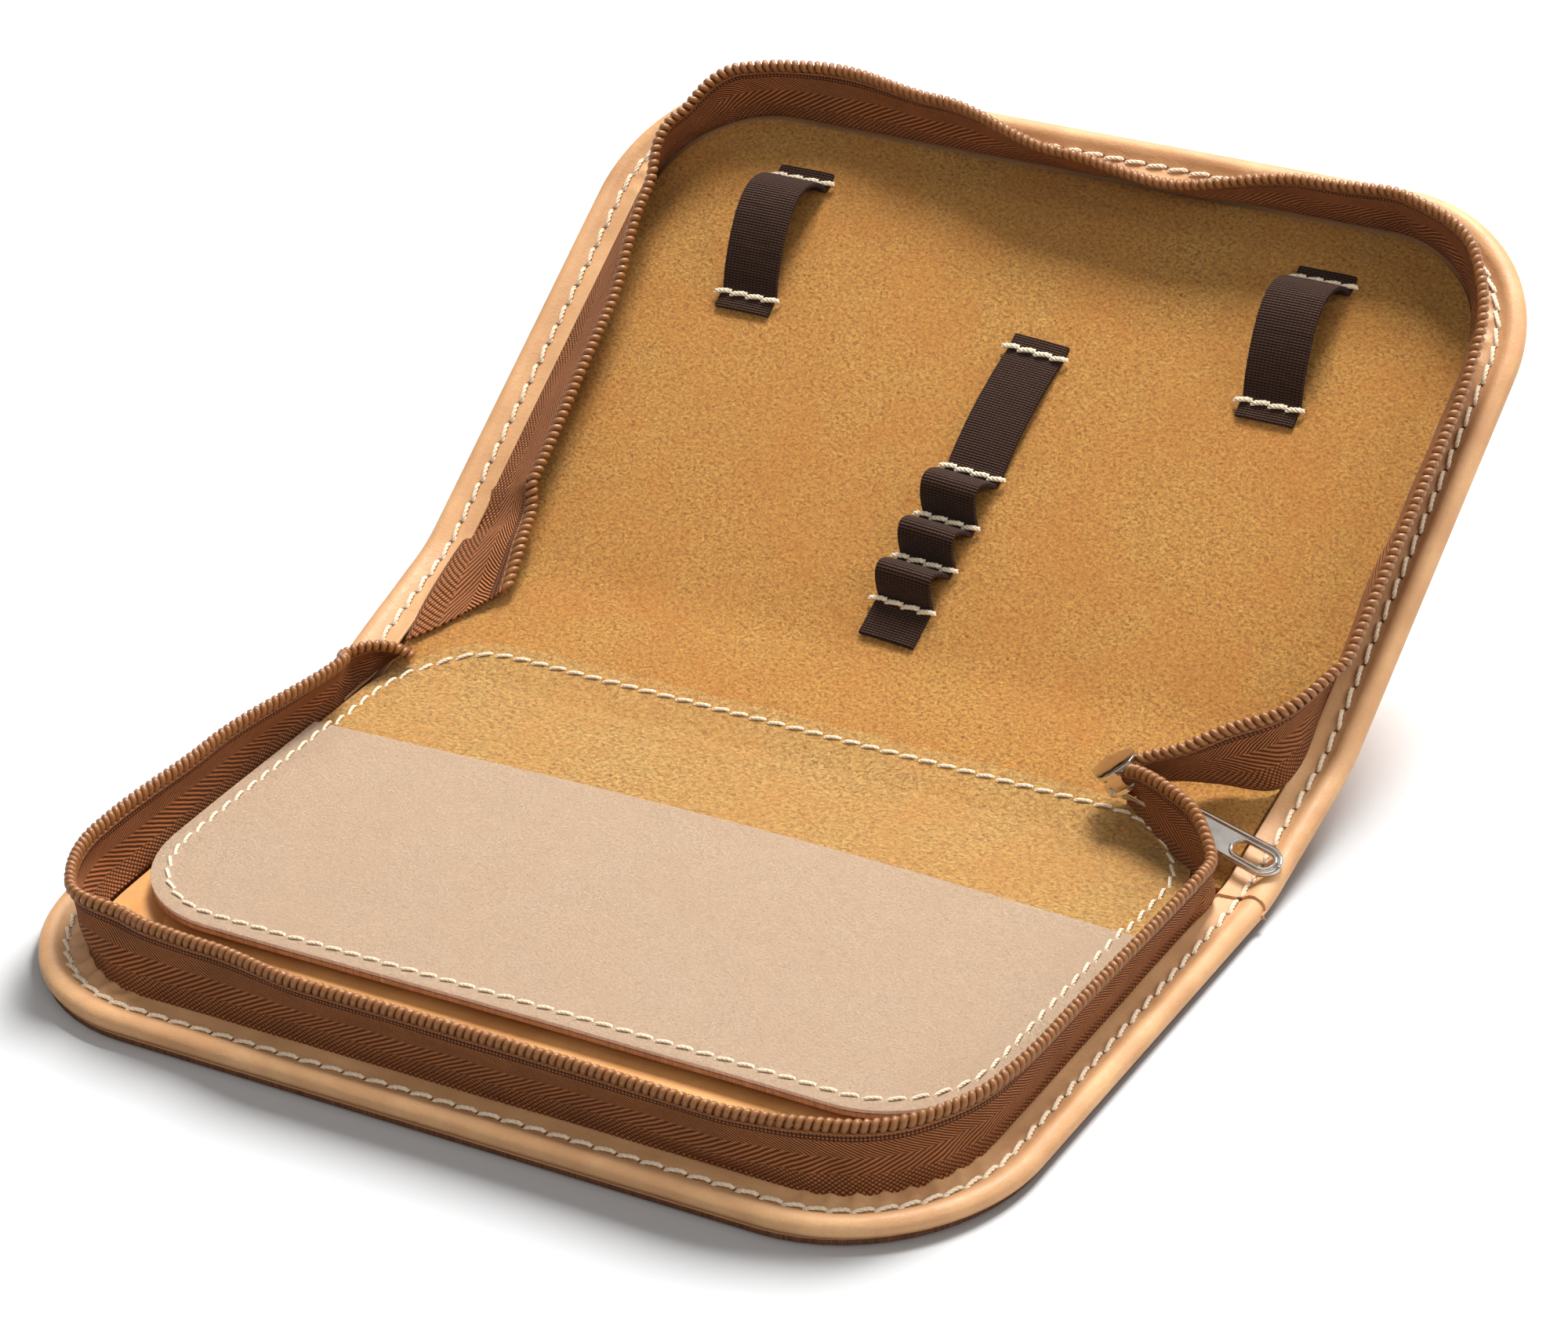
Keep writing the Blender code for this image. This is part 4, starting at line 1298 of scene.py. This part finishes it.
lowerColumns = tapeColumns(-1, "lower")
upperColumns = tapeColumns(1, "upper")
tapeLower = zipTapePiece("tape_lower_cloth", -1, lowerColumns)
tapeUpper = zipTapePiece("tape_upper_cloth", 1, upperColumns)
coilLower, sewingLower = coilPiece("coil_lower_turns", lowerColumns, 1)
coilUpper, sewingUpper = coilPiece("coil_upper_turns", upperColumns, -1)
print("zip ready")


# the leaf over the lower half, its pocket and its stitches

leaf = {
    "left": -0.0880,
    "right": 0.0862,
    "front": 0.0910,
    "onSpine": 0.0140,
    "radius": 0.0225,
    "thickness": 0.0009,
    "pocket": 0.0007,
    "edge": 0.0002,
    "rearHeight": 0.00415,
    "frontHeight": 0.0066,
    "seamHeight": 0.0034,
    "seamSlope": 0.004,
    "hill": 0.00035,
    "hillsPerMetre": 28,
    "hillsFrom": 0.02,
    "sideMouth": 0.0238,
    "middleMouth": 0.0213,
    "mouthGap": 0.0002,
    "mouthRise": 0.0003,
    "mouthFade": 0.006,
    "border": 0.0031,
    "stitchPitch": 0.00405,
    "stitchScale": 0.82,
    "rows": 70,
    "pocketRows": 60,
    "seamGrid": (90, 20),
    "cornerSteps": 12,
    "bend": 0.010,
    "seamBend": 0.005,
}


def leafUnder(across, along):
    # height of the leaf's underside
    rear = leaf["rearHeight"]
    if along > 0:
        rise = leaf["seamHeight"] + (rear - leaf["seamHeight"]) * (1 - eased(along / leaf["seamSlope"]))
    else:
        rise = rear + (leaf["frontHeight"] - rear) * (-along / leaf["front"])
    wave = hills(across, along, leaf["hillsPerMetre"], 11.0)
    return rise + leaf["hill"] * wave * eased(-along / leaf["hillsFrom"])


def leafAcross(across, along):
    # the leaf's sides draw in towards its rear corners
    past = max(along - (leaf["onSpine"] - leaf["radius"]), 0.0)
    narrow = leaf["radius"] - math.sqrt(max(leaf["radius"] ** 2 - past ** 2, 0.0))
    middle = (leaf["left"] + leaf["right"]) / 2
    half = (leaf["right"] - leaf["left"]) / 2
    return middle + across * (half - narrow) / half


def leafPart(name, rows, near, lift, thickness, finish, edge):
    places = sheetAcross(leaf["right"] - leaf["left"], leaf["radius"])
    half = (leaf["right"] - leaf["left"]) / 2

    def place(u, v):
        across, short = pick(places, u)
        first = near(across / half)
        along = first + (-(leaf["front"] - short) - first) * v
        across = leafAcross(across, along)
        height = leafUnder(across, along) + lift(across, along)
        return onCase(across, along, height + thickness), (across, along)

    piece = addSheet(name, len(places) - 1, rows, place)
    turnOver(piece)
    setFinish(piece, finish, edge)
    return thicken(piece, thickness, -1.0, leaf["edge"], 1)


def mouthAlong(share):
    # where the pocket's mouth runs, share being -1 at the left side and 1 at the right
    dip = math.cos(math.pi / 2 * share)
    return -(leaf["sideMouth"] + (leaf["middleMouth"] - leaf["sideMouth"]) * dip)


def pocketLift(across, along):
    # the mouth stands a little open
    share = across / (leaf["right"] - leaf["left"]) * 2
    past = mouthAlong(share) - along
    gape = leaf["mouthRise"] * math.exp(-past / leaf["mouthFade"]) * math.cos(math.pi / 2 * share)
    return leaf["thickness"] + leaf["mouthGap"] + gape


def leafSeamPiece():
    half = (leaf["right"] - leaf["left"]) / 2

    def place(u, v):
        along = leaf["onSpine"] * math.sin(math.pi / 2 * v)
        across = leafAcross((2 * u - 1) * half, along)
        return onCase(across, along, leafUnder(across, along) + leaf["thickness"]), (across, along)

    piece = addSheet("leaf_seam_suede", *leaf["seamGrid"], place)
    setFinish(piece, leafSuede, leafEdge)
    return thicken(piece, leaf["thickness"], -1.0, leaf["edge"], 1)


def arc(across, along, radius, first, sweep, steps):
    turns = [math.radians(first + sweep * step / steps) for step in range(steps + 1)]
    return [Vector((across + radius * math.cos(turn), along + radius * math.sin(turn), 0))
            for turn in turns]


def leafBorder():
    # flat places of the stitch line, closed, from the rear middle to the right
    inset = leaf["border"]
    radius = leaf["radius"] - inset
    left = leaf["left"] + inset
    right = leaf["right"] - inset
    rear = leaf["onSpine"] - inset
    front = -(leaf["front"] - inset)
    corners = (
        (right - radius, rear - radius, 90), (right - radius, front + radius, 0),
        (left + radius, front + radius, -90), (left + radius, rear - radius, -180),
    )
    run = [Vector(((left + right) / 2, rear, 0))]
    for across, along, first in corners:
        run += arc(across, along, radius, first, -90, leaf["cornerSteps"])
    return run + run[:1]


def leafTop(across, along):
    height = leafUnder(across, along) + leaf["thickness"]
    if along < mouthAlong(across / (leaf["right"] - leaf["left"]) * 2):
        height += leaf["pocket"] + pocketLift(across, along) - leaf["thickness"]
    return height


def leafStitches():
    # those over the lower half and those over the spine
    onLeaf = []
    onSpine = []
    border = leafBorder()
    total = lengthsAlong(border)[-1]
    pitch = total / round(total / leaf["stitchPitch"])
    justUnder = 0.99999  # so that the last stitch isn't lost to rounding
    spots = evenly([[at] for at in border], pitch * justUnder)
    for (flat,), (following,) in zip(spots, spots[1:]):
        middle = flat.lerp(following, 0.5)
        height = leafTop(middle.x, middle.y)
        at = onCase(middle.x, middle.y, height)
        ahead = onCase(following.x, following.y, height) - onCase(flat.x, flat.y, height)
        up = onCase(middle.x, middle.y, height + nudge) - at
        (onSpine if middle.y > 0 else onLeaf).append(frameAt(at, ahead, up))
    scale = leaf["stitchScale"]
    shape = stitchShape("leaf stitch", leaf["stitchPitch"] * scale, scale)
    first = sewLine("stitches_leaf", shape, onLeaf)
    second = sewLine("stitches_leaf_seam", shape, onSpine)
    bpy.data.objects.remove(shape)
    return first, second


# a smooth sheet that lies loose on the tray's floor, its front edge just past the leaf's
traySheet = {
    "halfWidth": 0.0770,
    "rear": 0.0640,
    "front": 0.0960,
    "radius": 0.0120,
    "height": 0.00395,
    "thickness": 0.0008,
    "edge": 0.0002,
    "hill": 0.0002,
    "hillsPerMetre": 25,
    "cornerSteps": 10,
    "middleSteps": 60,
    "rows": 20,
}


def traySheetPiece():
    places = sheetAcross(2 * traySheet["halfWidth"], traySheet["radius"],
                         traySheet["cornerSteps"], traySheet["middleSteps"])

    def place(u, v):
        across, short = pick(places, u)
        out = traySheet["rear"] + (traySheet["front"] - short - traySheet["rear"]) * v
        wave = traySheet["hill"] * hills(across, out, traySheet["hillsPerMetre"], 5.0)
        return onCase(across, -out, traySheet["height"] + traySheet["thickness"] + wave), (across, out)

    piece = addSheet("tray_sheet_leather", len(places) - 1, traySheet["rows"], place)
    turnOver(piece)
    setFinish(piece, floorLeather, pocketEdge)
    return thicken(piece, traySheet["thickness"], -1.0, traySheet["edge"], 1)


leafPanel = leafPart("leaf_suede", leaf["rows"], lambda share: 0.0, lambda across, along: 0.0,
                     leaf["thickness"], leafSuede, leafEdge)
leafPocket = leafPart("pocket_leather", leaf["pocketRows"], mouthAlong, pocketLift,
                      leaf["pocket"], fleshSide, pocketEdge)
leafSeam = leafSeamPiece()
traySheetLeather = traySheetPiece()
stitchesLeaf, stitchesSeam = leafStitches()
print("leaf ready")


# elastic loops on the upper lining, each row of them sewn across

elastics = {
    "width": 0.0120,
    "thickness": 0.0009,
    "edge": 0.0002,
    "foot": 0.0007,
    "sewnFlat": 0.0012,
    "archSteps": 16,
    "squareness": 0.75,
    "step": 0.0006,
    "columns": 12,
    "curl": 0.00018,
    "hill": 0.0001,
    "hills": (30, 3, 50),
    "stitches": 4,
    "stitchLength": 0.0036,
    "stitchScale": 1.15,
    # rows, ends and rises are measured out from the upper fold and up from the lining
    "sidePlace": 0.0570,
    "sideRows": (0.0667, 0.0943),
    "sideEnds": (0.0635, 0.0975),
    "sideRises": (0.0085,),
    "sideLean": 0.17,
    "bandPlace": 0.0030,
    "bandSlant": math.radians(3.5),
    "bandRows": (0.0675, 0.0400, 0.0290, 0.0195, 0.0100),
    "bandEnds": (0.0707, 0.0022),
    "bandRises": (0.0012, 0.0060, 0.0056, 0.0058),
}


def elasticLine(rows, rises, ends, lean=0.0):
    # (out, height over the lining) along the strip
    line = [Vector((ends[0], elastics["foot"], 0))]
    for before, after, rise in zip(rows, rows[1:], rises):
        flat = math.copysign(elastics["sewnFlat"], after - before)
        first = before + flat
        last = after - flat
        for step in range(elastics["archSteps"] + 1):
            share = step / elastics["archSteps"]
            arch = math.sin(math.pi * share) ** elastics["squareness"] if 0 < share < 1 else 0.0
            out = first + (last - first) * share + lean * arch * (last - first)
            line.append(Vector((out, elastics["foot"] + rise * arch, 0)))
    line.append(Vector((ends[1], elastics["foot"], 0)))
    return line


def elasticAt(place, slant, pivot, sideways, out, height):
    turned = Matrix.Rotation(-slant, 3, "Z") @ Vector((sideways, out - pivot, 0))
    return onCase(place + turned.x, case["spineWidth"] + pivot + turned.y, leather["liningTop"] + height)


def elasticPiece(name, place, slant, line):
    fine = [row[0] for row in evenly([[at] for at in line], elastics["step"])]
    width = elastics["width"]
    alongHills, acrossHills, placeHills = elastics["hills"]

    def spot(u, v):
        number = round(u * (len(fine) - 1))
        sideways = (v - 0.5) * width
        at = fine[number]
        curl = elastics["curl"] * (2 * v - 1) ** 4
        wave = noise.noise(Vector((u * alongHills, v * acrossHills, place * placeHills)))
        height = at.y - curl + elastics["hill"] * wave
        flat = (number * elastics["step"], sideways + width / 2)
        return elasticAt(place, slant, line[-1].x, sideways, at.x, height), flat

    piece = addSheet(name, len(fine) - 1, elastics["columns"], spot)
    setFinish(piece, darkElastic)
    return thicken(piece, elastics["thickness"], 0.0, elastics["edge"])


def elasticStitches(name, place, slant, rows, pivot):
    top = elastics["foot"] + elastics["thickness"] / 2
    middle = (elastics["stitches"] - 1) / 2
    places = []
    for row in rows:
        for number in range(elastics["stitches"]):
            sideways = (number - middle) * elastics["stitchLength"]
            places.append(frameOn(lambda forward, over: elasticAt(
                place, slant, pivot, sideways + forward, row, top + over)))
    shape = stitchShape("elastic stitch", elastics["stitchLength"], elastics["stitchScale"])
    piece = sewLine(name, shape, places)
    bpy.data.objects.remove(shape)
    return piece


sideLine = elasticLine(elastics["sideRows"], elastics["sideRises"], elastics["sideEnds"],
                       elastics["sideLean"])
bandLine = elasticLine(elastics["bandRows"], elastics["bandRises"], elastics["bandEnds"])
sideStrip = (0.0, elastics["sideRows"], sideLine)
bandStrip = (elastics["bandSlant"], elastics["bandRows"], bandLine)
strips = (
    ("elastic_left", "stitches_loop_left", -elastics["sidePlace"], *sideStrip),
    ("elastic_right", "stitches_loop_right", elastics["sidePlace"], *sideStrip),
    ("elastic_band", "stitches_band", elastics["bandPlace"], *bandStrip),
)
loopLeft, loopRight, loopBand = [
    elasticPiece(name, place, slant, line) for name, sewing, place, slant, rows, line in strips]
stitchesLoops = [
    elasticStitches(sewing, place, slant, rows, line[-1].x)
    for name, sewing, place, slant, rows, line in strips]
print("elastic loops ready")


# the slider, in its own frame: x through it towards the crown, y across, z towards its mouth

slider = {
    "place": Vector((0.0652, 0.0132, 0.0088)),
    "turn": math.radians(-12),
    "lean": math.radians(58),
    "gap": 0.0028,
    "plate": 0.0009,
    "plateSides": 40,
    "ends": ((0.0008, 0.0042), (-0.0024, 0.0026)),
    "railWidth": 0.0008,
    "railReach": 0.0006,
    "railInset": 0.6,
    "wedge": (0.0019, 0.0018, 0.0046),
    "crown": ((0.0020, -0.0030), (0.0034, -0.0032), (0.0047, -0.0025), (0.0052, -0.0010),
              (0.0052, 0.0010), (0.0047, 0.0025), (0.0034, 0.0032), (0.0020, 0.0030)),
    "crownSteps": 5,
    "crownRows": 4,
    "crownWidth": 0.0021,
    "crownThickness": 0.0008,
    "crownEdge": 0.0002,
    "soften": 0.00025,
    "softenBlock": 0.000175,
}


def spineFrame():
    fold = Vector((0, case["foldPlace"], case["foldHeight"]))
    return Matrix.Translation(fold) @ Matrix.Rotation(case["foldTurn"], 4, "X")


def sliderFrame(out=0.0):
    # the slider's frame in the spine's, moved out towards its crown
    return (Matrix.Translation(slider["place"]) @ Matrix.Rotation(slider["turn"], 4, "Z")
            @ Matrix.Rotation(slider["lean"], 4, "Y") @ Matrix.Translation((out, 0, 0)))


def sliderPlate(low, high):
    # two round ends drawn together into one tapered plate
    ends = []
    for height, radius in slider["ends"]:
        deselect()
        bpy.ops.mesh.primitive_cylinder_add(
            vertices=slider["plateSides"], radius=radius, depth=high - low,
            location=((low + high) / 2, 0, height), rotation=(0, math.pi / 2, 0))
        applyPlace(bpy.context.object)
        ends.append(bpy.context.object)
    piece = joinAll("slider plate", ends)
    inEditMode(piece, bpy.ops.mesh.convex_hull)
    soften(piece, slider["soften"])
    return piece


def sliderBlock(place, size, turn=0.0):
    deselect()
    bpy.ops.mesh.primitive_cube_add(size=1, location=place, rotation=(turn, 0, 0), scale=size)
    piece = bpy.context.object
    applyPlace(piece)
    soften(piece, slider["softenBlock"])
    return piece


def sliderRails():
    # the folded edges of both plates, along the tapered sides
    (high, wide), (low, narrow) = slider["ends"]
    half = slider["gap"] / 2
    plate = slider["plate"]
    taper = math.atan2(wide - narrow, high - low)
    reach = math.hypot(wide - narrow, high - low)
    deep = slider["railReach"] + plate / 2
    out = (wide + narrow) / 2 - slider["railWidth"] * slider["railInset"]
    rails = []
    for side in (-1, 1):
        for face in (-1, 1):
            place = (face * (half + plate / 2 - deep / 2), side * out, (high + low) / 2)
            rails.append(sliderBlock(place, (deep, slider["railWidth"], reach), -side * taper))
    return rails


def sliderCrown():
    path = curveThrough([Vector((x, 0, z)) for x, z in slider["crown"]], slider["crownSteps"])

    def place(u, v):
        at = pick(path, u)
        return Vector((at.x, (v - 0.5) * slider["crownWidth"], at.z)), (u, v)

    crown = addSheet("crown", len(path) - 1, slider["crownRows"], place)
    return thicken(crown, slider["crownThickness"], 0.0, slider["crownEdge"])


def sliderPiece():
    half = slider["gap"] / 2
    plate = slider["plate"]
    parts = [sliderPlate(-half - plate, -half), sliderPlate(half, half + plate)] + sliderRails()
    width, start, end = slider["wedge"]
    parts.append(sliderBlock((0, 0, (start + end) / 2), (slider["gap"] + plate, width, end - start)))
    parts.append(sliderCrown())
    piece = joinAll("slider_metal", parts)
    piece.matrix_world = spineFrame() @ sliderFrame()
    applyPlace(piece)
    setFinish(piece, nickel)
    return piece


# the pull: a plate with an eye for the crown, a raised rim all round and an oblong hole with its own rim

pull = {
    "pivot": 0.00345,
    "drop": math.radians(6),
    "length": 0.0335,
    "start": -0.00045,
    "rounding": 0.0009,
    "neckHalf": 0.0021,
    "neckEnd": 0.0080,
    "shoulderHalf": 0.0033,
    "shoulderStart": 0.0141,
    "endHalf": 0.0035,
    "outlineSteps": 60,
    "slotSteps": 14,
    # near end, far end and half width or radius
    "eye": (0.00045, 0.00545, 0.00135),
    "hole": (0.0251, 0.0300, 0.0018),
    "plateLow": -0.00055,
    "plateHigh": 0.00015,
    "plateInset": 0.0002,
    "rim": 0.00048,
    "rimHeight": 0.00012,
    "holeRim": 0.00040,
    "holeRimOut": 0.00024,
    "roundness": 4,
    "soften": 0.00012,
}


def pullHalfWidth(along):
    rounding = pull["rounding"]
    if along < pull["start"] + rounding:
        short = pull["start"] + rounding - along
        return pull["neckHalf"] - rounding + math.sqrt(max(rounding ** 2 - short ** 2, 0))
    if along < pull["neckEnd"]:
        return pull["neckHalf"]
    centre = pull["length"] - pull["endHalf"]
    if along > centre:
        return math.sqrt(max(pull["endHalf"] ** 2 - (along - centre) ** 2, 0))
    widen = eased((along - pull["neckEnd"]) / (pull["shoulderStart"] - pull["neckEnd"]))
    more = max(0.0, (along - pull["shoulderStart"]) / (centre - pull["shoulderStart"]))
    return (pull["neckHalf"] + (pull["shoulderHalf"] - pull["neckHalf"]) * widen
            + (pull["endHalf"] - pull["shoulderHalf"]) * more)


def pullOutline(inset):
    # places round the pull, drawn in by the inset
    middle = (pull["start"] + pull["length"]) / 2
    reach = pull["length"] - pull["start"]
    side = []
    for step in range(pull["outlineSteps"] + 1):
        share = (1 - math.cos(math.pi * step / pull["outlineSteps"])) / 2
        along = pull["start"] + reach * share
        side.append(Vector((middle + (along - middle) * (1 - 2 * inset / reach),
                            max(pullHalfWidth(along) - inset, 0.0), 0)))
    return side + [Vector((at.x, -at.y, 0)) for at in side[-2:0:-1]]


def roundedSlot(near, far, radius):
    steps = pull["slotSteps"]
    return arc(far, 0, radius, -90, 180, steps) + arc(near, 0, radius, 90, 180, steps)


def pullPiece():
    near, far, half = pull["eye"]
    eye = [Vector((along, across, 0))
           for along, across in ((near, -half), (near, half), (far, half), (far, -half))]
    holeNear, holeFar, holeRadius = pull["hole"]
    hole = roundedSlot(holeNear, holeFar, holeRadius)[::-1]
    plate = flatPlate("pull plate", [pullOutline(pull["plateInset"]), eye, hole], pull["plateLow"],
                      pull["plateHigh"], pull["soften"])
    setFinish(plate, brushedNickel)
    parts = [plate]
    holeEdge = roundedSlot(holeNear, holeFar, holeRadius + pull["holeRimOut"])
    for line, radius in ((pullOutline(pull["rim"]), pull["rim"]), (holeEdge, pull["holeRim"])):
        raised = [at + Vector((0, 0, pull["rimHeight"])) for at in line]
        parts.append(addTubes("pull rim", [raised], radius, pull["roundness"], True))
        setFinish(parts[-1], nickel)
    piece = joinAll("pull_metal", parts)
    hinge = spineFrame() @ Matrix.Translation(sliderFrame(pull["pivot"]).to_translation())
    piece.matrix_world = (hinge @ Matrix.Rotation(slider["turn"], 4, "Z")
                          @ Matrix.Rotation(pull["drop"], 4, "Y"))
    applyPlace(piece)
    return piece


sliderMetal = sliderPiece()
pullMetal = pullPiece()
print("slider ready")


# riding, and what each piece stands for

bend(coverLower, -1)
bend(coverUpper, 1)
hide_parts("lower_cover", "spine_cover")
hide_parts("upper_cover")
bend(bindingLower, -1)
bend(bindingUpper, 1)
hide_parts("lower_binding", "spine_binding_left", "spine_binding_right")
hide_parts("upper_binding")
bend(cordLower, -1)
bend(cordUpper, 1)
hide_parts("lower_edge_cord", "spine_edge_cord_left", "spine_edge_cord_right")
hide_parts("upper_edge_cord")
bend(stitchesLower, -1)
bend(stitchesUpper, 1)
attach(trayFloor, "lower_half")
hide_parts("lower_lining")
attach(traySheetLeather, "lower_half")
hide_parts("tray_sheet")
bend(suedeLining, 1)
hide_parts("upper_lining", "spine_lining")
for piece in (tapeLower, coilLower, sewingLower):
    bend(piece, -1, *zipper["bend"])
for piece in (tapeUpper, coilUpper, sewingUpper):
    bend(piece, 1, *zipper["bend"])
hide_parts("zip_tape_lower", "zip_tape_end_lower_left", "zip_tape_end_lower_right")
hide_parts("zip_tape_upper", "zip_tape_end_upper_left", "zip_tape_end_upper_right")
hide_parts("zip_coil_lower", "zip_coil_end_lower_left", "zip_coil_end_lower_right")
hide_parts("zip_coil_upper", "zip_coil_end_upper_left", "zip_coil_end_upper_right")
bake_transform(leafPanel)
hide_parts("leaf_panel")
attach(leafPocket, "leaf")
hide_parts("leaf_pocket")
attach(stitchesLeaf, "leaf")
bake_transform(leafSeam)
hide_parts("leaf_seam")
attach(stitchesSeam, "spine")
for piece, node in ((loopLeft, "loop_left"), (loopRight, "loop_right"), (loopBand, "loop_band")):
    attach(piece, "upper_half")
    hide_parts(node)
for piece in stitchesLoops:
    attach(piece, "upper_half")
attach(sliderMetal, "spine")
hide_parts("slider_body")
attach(pullMetal, "pull")
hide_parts("slider_pull")

for name in ("lower_board", "spine_board", "upper_board"):
    setFinish(nodes[name], stiffener)


# floor, lights and camera

studio = {
    "target": Vector((-0.0227, 0.0973, 0.0)),
    "azimuth": math.radians(33.258),
    "elevation": math.radians(30.984),
    "roll": math.radians(-4.860),
    "distance": 1.06283,
    "lens": 127.66,
    # light of the world, from low down to overhead: what it gives the object and what metal shows
    "soft": (0.05, 0.65, 0.05, 0.24),
    "shine": (0.05, 0.75, 0.14, 0.62),
    "floorSize": 6,
    "floorDrop": 0.0004,
    "floorTone": (0.86, 0.86, 0.86, 1),
    # what the camera sees of the floor glows more from the first distance to the second
    "floorGlow": (0.26, 0.70, 0.05, 1.0),
    "lightAim": Vector((0, 0.08, 0.02)),
    # name, place, size, power, what it lights
    "lights": (
        ("key", (-0.02, 0.64, 1.25), 0.44, 28.0, "part"),
        ("left", (-0.46, 0.78, 0.82), 0.46, 3.5, "part"),
        ("right", (0.56, 0.74, 0.80), 0.46, 4.0, "part"),
        ("side", (0.95, -0.05, 0.55), 0.50, 3.5, "part"),
        ("fill", (0.25, -0.95, 0.75), 0.70, 4.2, "part"),
        ("floor key", (0.09, 1.05, 1.05), 0.52, 35.0, "floor"),
    ),
    "hiddenInShine": ("side", "fill"),
    "missesPull": ("key",),
}


def addFloor():
    deselect()
    bpy.ops.mesh.primitive_plane_add(size=studio["floorSize"], location=(0, 0, -studio["floorDrop"]))
    floor = bpy.context.object
    floor.name = "floor"
    material = bpy.data.materials.new("pale floor")
    material.use_nodes = True
    material.node_tree.nodes.clear()
    rays = addNode(material, "ShaderNodeLightPath")
    glowHere = spread(material, lengthOf(material, spotOf(material, "Object")), *studio["floorGlow"])
    seen = maths(material, "MULTIPLY", rays.outputs["Is Camera Ray"], glowHere)
    paint = addNode(material, "ShaderNodeBsdfDiffuse", {"Color": studio["floorTone"]})
    glow = addNode(material, "ShaderNodeEmission", {"Color": (1, 1, 1, 1), "Strength": seen})
    both = addNode(material, "ShaderNodeAddShader", {0: paint.outputs[0], 1: glow.outputs[0]})
    addNode(material, "ShaderNodeOutputMaterial", {"Surface": both.outputs[0]})
    setFinish(floor, material)
    return floor


def addLight(name, place, size, power, lit):
    light = bpy.data.lights.new(name, "AREA")
    light.shape = "SQUARE"
    light.size = size
    light.energy = power
    lamp = bpy.data.objects.new(name, light)
    bpy.context.scene.collection.objects.link(lamp)
    lamp.location = place
    lamp.rotation_euler = (studio["lightAim"] - Vector(place)).to_track_quat("-Z", "Y").to_euler()
    lamp.visible_glossy = name not in studio["hiddenInShine"]
    # the floor's own lamp lights nothing else, and the other lamps leave the floor out
    chosen = bpy.data.collections.new(name + " lights")
    chosen.objects.link(floor)
    if name in studio["missesPull"]:
        chosen.objects.link(pullMetal)
    for row in chosen.collection_objects:
        row.light_linking.link_state = "INCLUDE" if lit == "floor" else "EXCLUDE"
    lamp.light_linking.receiver_collection = chosen


def addWorld():
    # white behind the object; what lights it and shows in the metal is brighter overhead than low down
    world = bpy.data.worlds.new("studio")
    bpy.context.scene.world = world
    world.use_nodes = True
    background = world.node_tree.nodes["Background"]
    split = addNode(world, "ShaderNodeSeparateXYZ", {"Vector": spotOf(world, "Generated")})
    soft = spread(world, split.outputs[2], *studio["soft"])
    shine = spread(world, split.outputs[2], *studio["shine"])
    rays = addNode(world, "ShaderNodeLightPath")
    lit = blendValues(world, rays.outputs["Is Glossy Ray"], soft, shine)
    strength = blendValues(world, rays.outputs["Is Camera Ray"], lit, 1.0)
    feed(world, background.inputs["Strength"], strength)
    background.inputs["Color"].default_value = (1, 1, 1, 1)


def addCamera():
    turn = studio["azimuth"]
    rise = studio["elevation"]
    back = Vector((math.sin(turn) * math.cos(rise), -math.cos(turn) * math.cos(rise), math.sin(rise)))
    right = Vector((math.cos(turn), math.sin(turn), 0))
    up = right.cross(-back)
    roll = studio["roll"]
    rolledRight = right * math.cos(roll) + up * math.sin(roll)
    rolledUp = up * math.cos(roll) - right * math.sin(roll)
    data = bpy.data.cameras.new("camera")
    data.sensor_width = 36
    data.sensor_fit = "HORIZONTAL"
    data.lens = studio["lens"]
    camera = bpy.data.objects.new("camera", data)
    bpy.context.scene.collection.objects.link(camera)
    turned = Matrix((rolledRight, rolledUp, back)).transposed().to_4x4()
    camera.matrix_world = Matrix.Translation(studio["target"] + back * studio["distance"]) @ turned
    bpy.context.scene.camera = camera


floor = addFloor()
addWorld()
for light in studio["lights"]:
    addLight(*light)
addCamera()
bpy.context.scene.view_settings.view_transform = "Standard"

print("scene ready")
